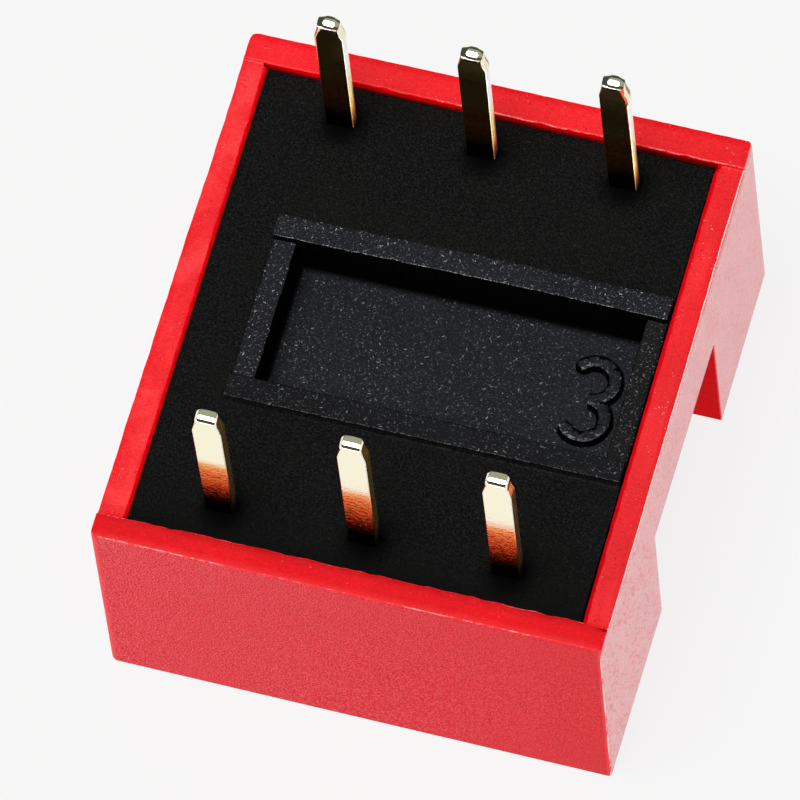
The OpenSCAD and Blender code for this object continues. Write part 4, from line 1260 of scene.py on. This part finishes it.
def terminal(name, x0, s, lean):
    bm = bmesh.new()
    l = TIP - BASE
    rings = []
    lean_m = (Matrix.Rotation(math.radians(lean[0]), 3, "X")
              @ Matrix.Rotation(math.radians(lean[1]), 3, "Y"))

    def blade(pts):
        pts = [lean_m @ Vector(p) for p in pts]
        rings.append([bm.verts.new((x0 + p.x, s * ROW + p.y, BASE + p.z)) for p in pts])

    # sheared tip: flat at the back and rolled over to the front, then
    # domed from side to side; slopes in degrees
    a, b = 0.194, 0.119
    if s < 0:
        deep = [(-0.12, 67), (-0.110, 59), (-0.103, 48), (-0.060, 28.5), (-0.054, 22.5), (-0.006, 11.3),
                (0.004, 4), (0.12, -3)]
        wide = [(-0.194, -48), (-0.1520, -44), (-0.1505, -2), (0, 0), (0.168, 2), (0.1695, 58), (0.194, 70)]
    else:
        deep = [(-0.12, 64), (-0.113, 56), (-0.109, 50), (-0.070, 30), (-0.064, 25), (0.004, 13), (0.010, 8),
                (0.060, -2), (0.082, -14), (0.12, -26)]
        wide = [(-0.194, -22), (-0.100, -16), (-0.078, -8), (-0.065, -1), (0, 0), (0.090, 1), (0.102, 8),
                (0.120, 16), (0.194, 22)]
    dv, dh = slope_height(deep)
    wv, wh = slope_height(wide, 0.0005)

    def cap(u, v):
        return l + float(np.interp(v, dv, dh)) - dh.max() - float(np.interp(u, wv, wh)) + wh.min()

    corner = 0.022 if s < 0 else 0.045
    r = 0.05 if s < 0 else 0.085
    place = [[(u * half_width(v * b, a, b, r), v * b, cap(u * a, v * b)) for u in SU[s]] for v in SV]
    grid = [[bm.verts.new((x0 + q.x, s * ROW + q.y, BASE + q.z)) for q in (lean_m @ Vector(p) for p in row)]
            for row in place]
    for g, h in zip(grid, grid[1:]):
        for i in range(len(SU[s]) - 1):
            bm.faces.new((g[i], g[i + 1], h[i + 1], h[i]))

    def outline(g):
        return g[0] + [row[-1] for row in g[1:-1]] + g[-1][::-1] + [row[0] for row in g[-2:0:-1]]

    rings.append(outline(grid))
    low = l - (0.19 if s < 0 else 0.26)
    blade([(u * 1.004, v * 1.004, h - 0.012) for u, v, h in outline(place)])
    blade([(u * 1.006, v * 1.006, h - 0.026) for u, v, h in outline(place)])
    taper = [(low, a + 0.006, b + 0.003, 0.045 if s < 0 else 0.035)]
    for k in range(1, 8):
        t = k / 8
        taper.append((low + (l - 0.44 - low) * t, a + 0.006 + (0.255 - a - 0.006) * t, b + 0.003 + 0.003 * t,
                      taper[0][3] + (corner - taper[0][3]) * t))
    taper += [(l - 0.444, 0.2535, 0.125, corner), (l - 0.458, 0.255, 0.125, corner)]
    for k in range(1, 25):
        taper.append((l - 0.458 - (l - 0.458 + 0.1) * k / 24, 0.255, 0.125, corner))
    for h, wa, wb, r in taper:
        blade([(u, v, h) for u, v in ring(wa, wb, r, s)])
    # shank and bend inside the base
    mid = UNDER_Z + 0.125
    rings.append([bm.verts.new((x0 + u, s * ROW + v, mid + 0.42)) for u, v in ring(0.24, 0.115, 0.02, s)])
    R = 0.14
    for k in range(0, 7):
        t = math.pi / 2 * k / 6
        wdt = 0.24 + 0.36 * k / 6
        cy, cz = R * (1 - math.cos(t)), R - R * math.sin(t)
        rings.append([bm.verts.new((x0 + u, s * ROW - s * cy + v * math.cos(t),
                                    mid + cz + s * v * math.sin(t)))
                      for u, v in ring(wdt, 0.115, 0.02, s)])
    end = 0.12 if s < 0 else 1.1
    for k in range(1, 9):
        y = (s * (ROW - R)) + (end - s * (ROW - R)) * k / 8
        rings.append([bm.verts.new((x0 + u, y, mid + s * v)) for u, v in ring(0.6, 0.115, 0.02, s)])
    for a, b in zip(rings, rings[1:]):
        for i in range(len(a)):
            j = (i + 1) % len(a)
            bm.faces.new((a[i], a[j], b[j], b[i]))
    bm.faces.new(rings[-1])
    bmesh.ops.recalc_face_normals(bm, faces=bm.faces)
    bm.normal_update()
    tip = set(v for g in grid for v in g)
    for f in bm.faces:
        c, q = f.calc_center_median(), f.normal
        if all(v in tip for v in f.verts) or c.z > TIP - 0.05:
            continue
        if abs(q.x) > 0.75 and abs(q.y) < 0.6:
            f.material_index = 1
        if c.z > BASE - 0.1 and (q.x < -0.6 if s > 0 else False):
            f.material_index = 2
        if c.z > BASE - 0.1 and q.x > 0.3 and q.y < -0.15 and (s < 0 or (x0 > 2 and c.z > 8.05)):
            f.material_index = 2
    if s > 0:
        for e in bm.edges:
            if len(e.link_faces) == 2 and sum(all(v in tip for v in f.verts) for f in e.link_faces) == 1:
                e.smooth = False
    ob = finish_object(name + "_strip", bm, BODY, [GOLD, SHEAR, PIN_EDGE_BURR_AND_HIGHLIGHT], False)
    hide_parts(name)


# ------------------------------------------------------------------- sliders
def slider(i):
    x0 = POS_X[i]
    kw, kl, fw, fl, c = 0.65, 0.675, 0.95, 1.45, 0.12
    zt = TROUGH_Z - 1.6
    xs = lines([-fw, -kw, -kw + c, kw - c, kw, fw], 0.16)
    ys = lines([-fl, -kl, -kl + c, -0.36, -0.16, 0.16, 0.36, kl - c, kl, fl], 0.16)
    zs = lines([zt, zt + 0.1, zt + c, zt + 0.3, FLOOR_Z + 0.02, FLOOR_Z + 0.2], 0.16)

    def solid(x, y, z):
        s = (abs(x) < kw) & (abs(y) < kl) & (z < FLOOR_Z + 0.2)
        s |= z > FLOOR_Z + 0.02
        s &= ~((abs(y) > 0.16) & (abs(y) < 0.36) & (z < zt + 0.1))
        return s

    bm = to_bmesh(*grid_solid(xs, ys, zs, solid))
    # chamfer round the face of the knob
    co = co_array(bm)
    x, y, z = co.T
    cut = np.clip(zt + c - z, 0, c)
    knob = z < FLOOR_Z
    co[:, 0] -= np.sign(x) * knob * np.clip(abs(x) - (kw - cut), 0, c)
    co[:, 1] -= np.sign(y) * knob * np.clip(abs(y) - (kl - cut), 0, c)
    set_co(bm, co)
    bm.normal_update()
    bmesh.ops.bevel(bm, geom=sharp_edges(bm, 0.45), offset=0.022, offset_type="OFFSET",
                    segments=2, profile=0.5, affect="EDGES", clamp_overlap=True)
    bmesh.ops.translate(bm, verts=bm.verts, vec=(x0, OFF_Y, 0))
    ob = finish_object(f"slider_{i + 1}_knob", bm, f"slider_{i + 1}", [WHITE])
    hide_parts(f"slider_{i + 1}")


cover()
base()
LEAN = {-1: ((0.3, 0), (-0.6, -0.3), (1.3, 0.25)), 1: ((-1.1, -0.8), (-0.35, 0), (0, 0))}
for s, side in ((-1, "front"), (1, "rear")):
    for i in range(3):
        terminal(f"terminal_{i + 1}_{side}", POS_X[i], s, LEAN[s][i])
for i in range(3):
    slider(i)
    node = frame["nodes"][f"contact_{i + 1}"]
    node.data.materials.clear()
    node.data.materials.append(GOLD)


# ------------------------------------------------------------ floor and light
def stage():
    me = bpy.data.meshes.new("floor")
    s = 3.0
    z = -0.000005
    me.from_pydata([(-s, -s, z), (s, -s, z), (s, s, z), (-s, s, z)], [], [(0, 1, 2, 3)])
    ob = bpy.data.objects.new("floor", me)
    scene.collection.objects.link(ob)
    m, nt, b = new_material("floor_pale")
    b.inputs["Base Color"].default_value = (0.07, 0.07, 0.07, 1)
    b.inputs["Roughness"].default_value = 0.9
    b.inputs["Specular IOR Level"].default_value = 0.0
    b.inputs["Emission Color"].default_value = (1, 1, 1, 1)
    b.inputs["Emission Strength"].default_value = 0.845
    me.materials.append(m)

    w = bpy.data.worlds.new("world")
    scene.world = w
    w.use_nodes = True
    nt = w.node_tree
    for n in list(nt.nodes):
        nt.nodes.remove(n)
    out = nt.nodes.new("ShaderNodeOutputWorld")
    bg = nt.nodes.new("ShaderNodeBackground")
    tc = nt.nodes.new("ShaderNodeTexCoord")
    sep = nt.nodes.new("ShaderNodeSeparateXYZ")
    ramp = nt.nodes.new("ShaderNodeValToRGB")
    nt.links.new(tc.outputs["Generated"], sep.inputs[0])
    nt.links.new(sep.outputs["Z"], ramp.inputs[0])
    el = ramp.color_ramp.elements
    stops = ((0.0, (0.91, 0.91, 0.91)), (0.10, (0.91, 0.91, 0.91)), (0.17, (0.12, 0.125, 0.12)),
             (0.6, (0.05, 0.055, 0.05)), (0.80, (0.07, 0.075, 0.065)), (0.86, (0.33, 0.36, 0.30)))
    while len(el) < len(stops):
        el.new(0.5)
    for e, (p, c) in zip(el, stops):
        e.position = p
        e.color = (*c, 1)
    nt.links.new(ramp.outputs[0], bg.inputs["Color"])
    bg.inputs["Strength"].default_value = 1.0
    nt.links.new(bg.outputs[0], out.inputs[0])

    def area(name, loc, target, size, radiance, color=(1, 1, 1)):
        l = bpy.data.lights.new(name, "AREA")
        l.shape = "RECTANGLE"
        l.size, l.size_y = size
        l.energy = radiance * math.pi * size[0] * size[1]
        l.color = color
        o = bpy.data.objects.new(name, l)
        scene.collection.objects.link(o)
        o.location = loc
        o.rotation_mode = "QUATERNION"
        o.rotation_quaternion = (Vector(target) - Vector(loc)).to_track_quat("-Z", "Y")
        return o

    area("key", (-0.10, -0.13, 0.60), (0, 0, 0), (0.42, 0.36), 9.3)
    area("fill", (-0.30, -0.60, 0.07), (0, 0, 0), (0.60, 0.12), 3.0)
    area("side", (0.60, -0.10, 0.07), (0, 0, 0), (0.50, 0.12), 3.1)


stage()
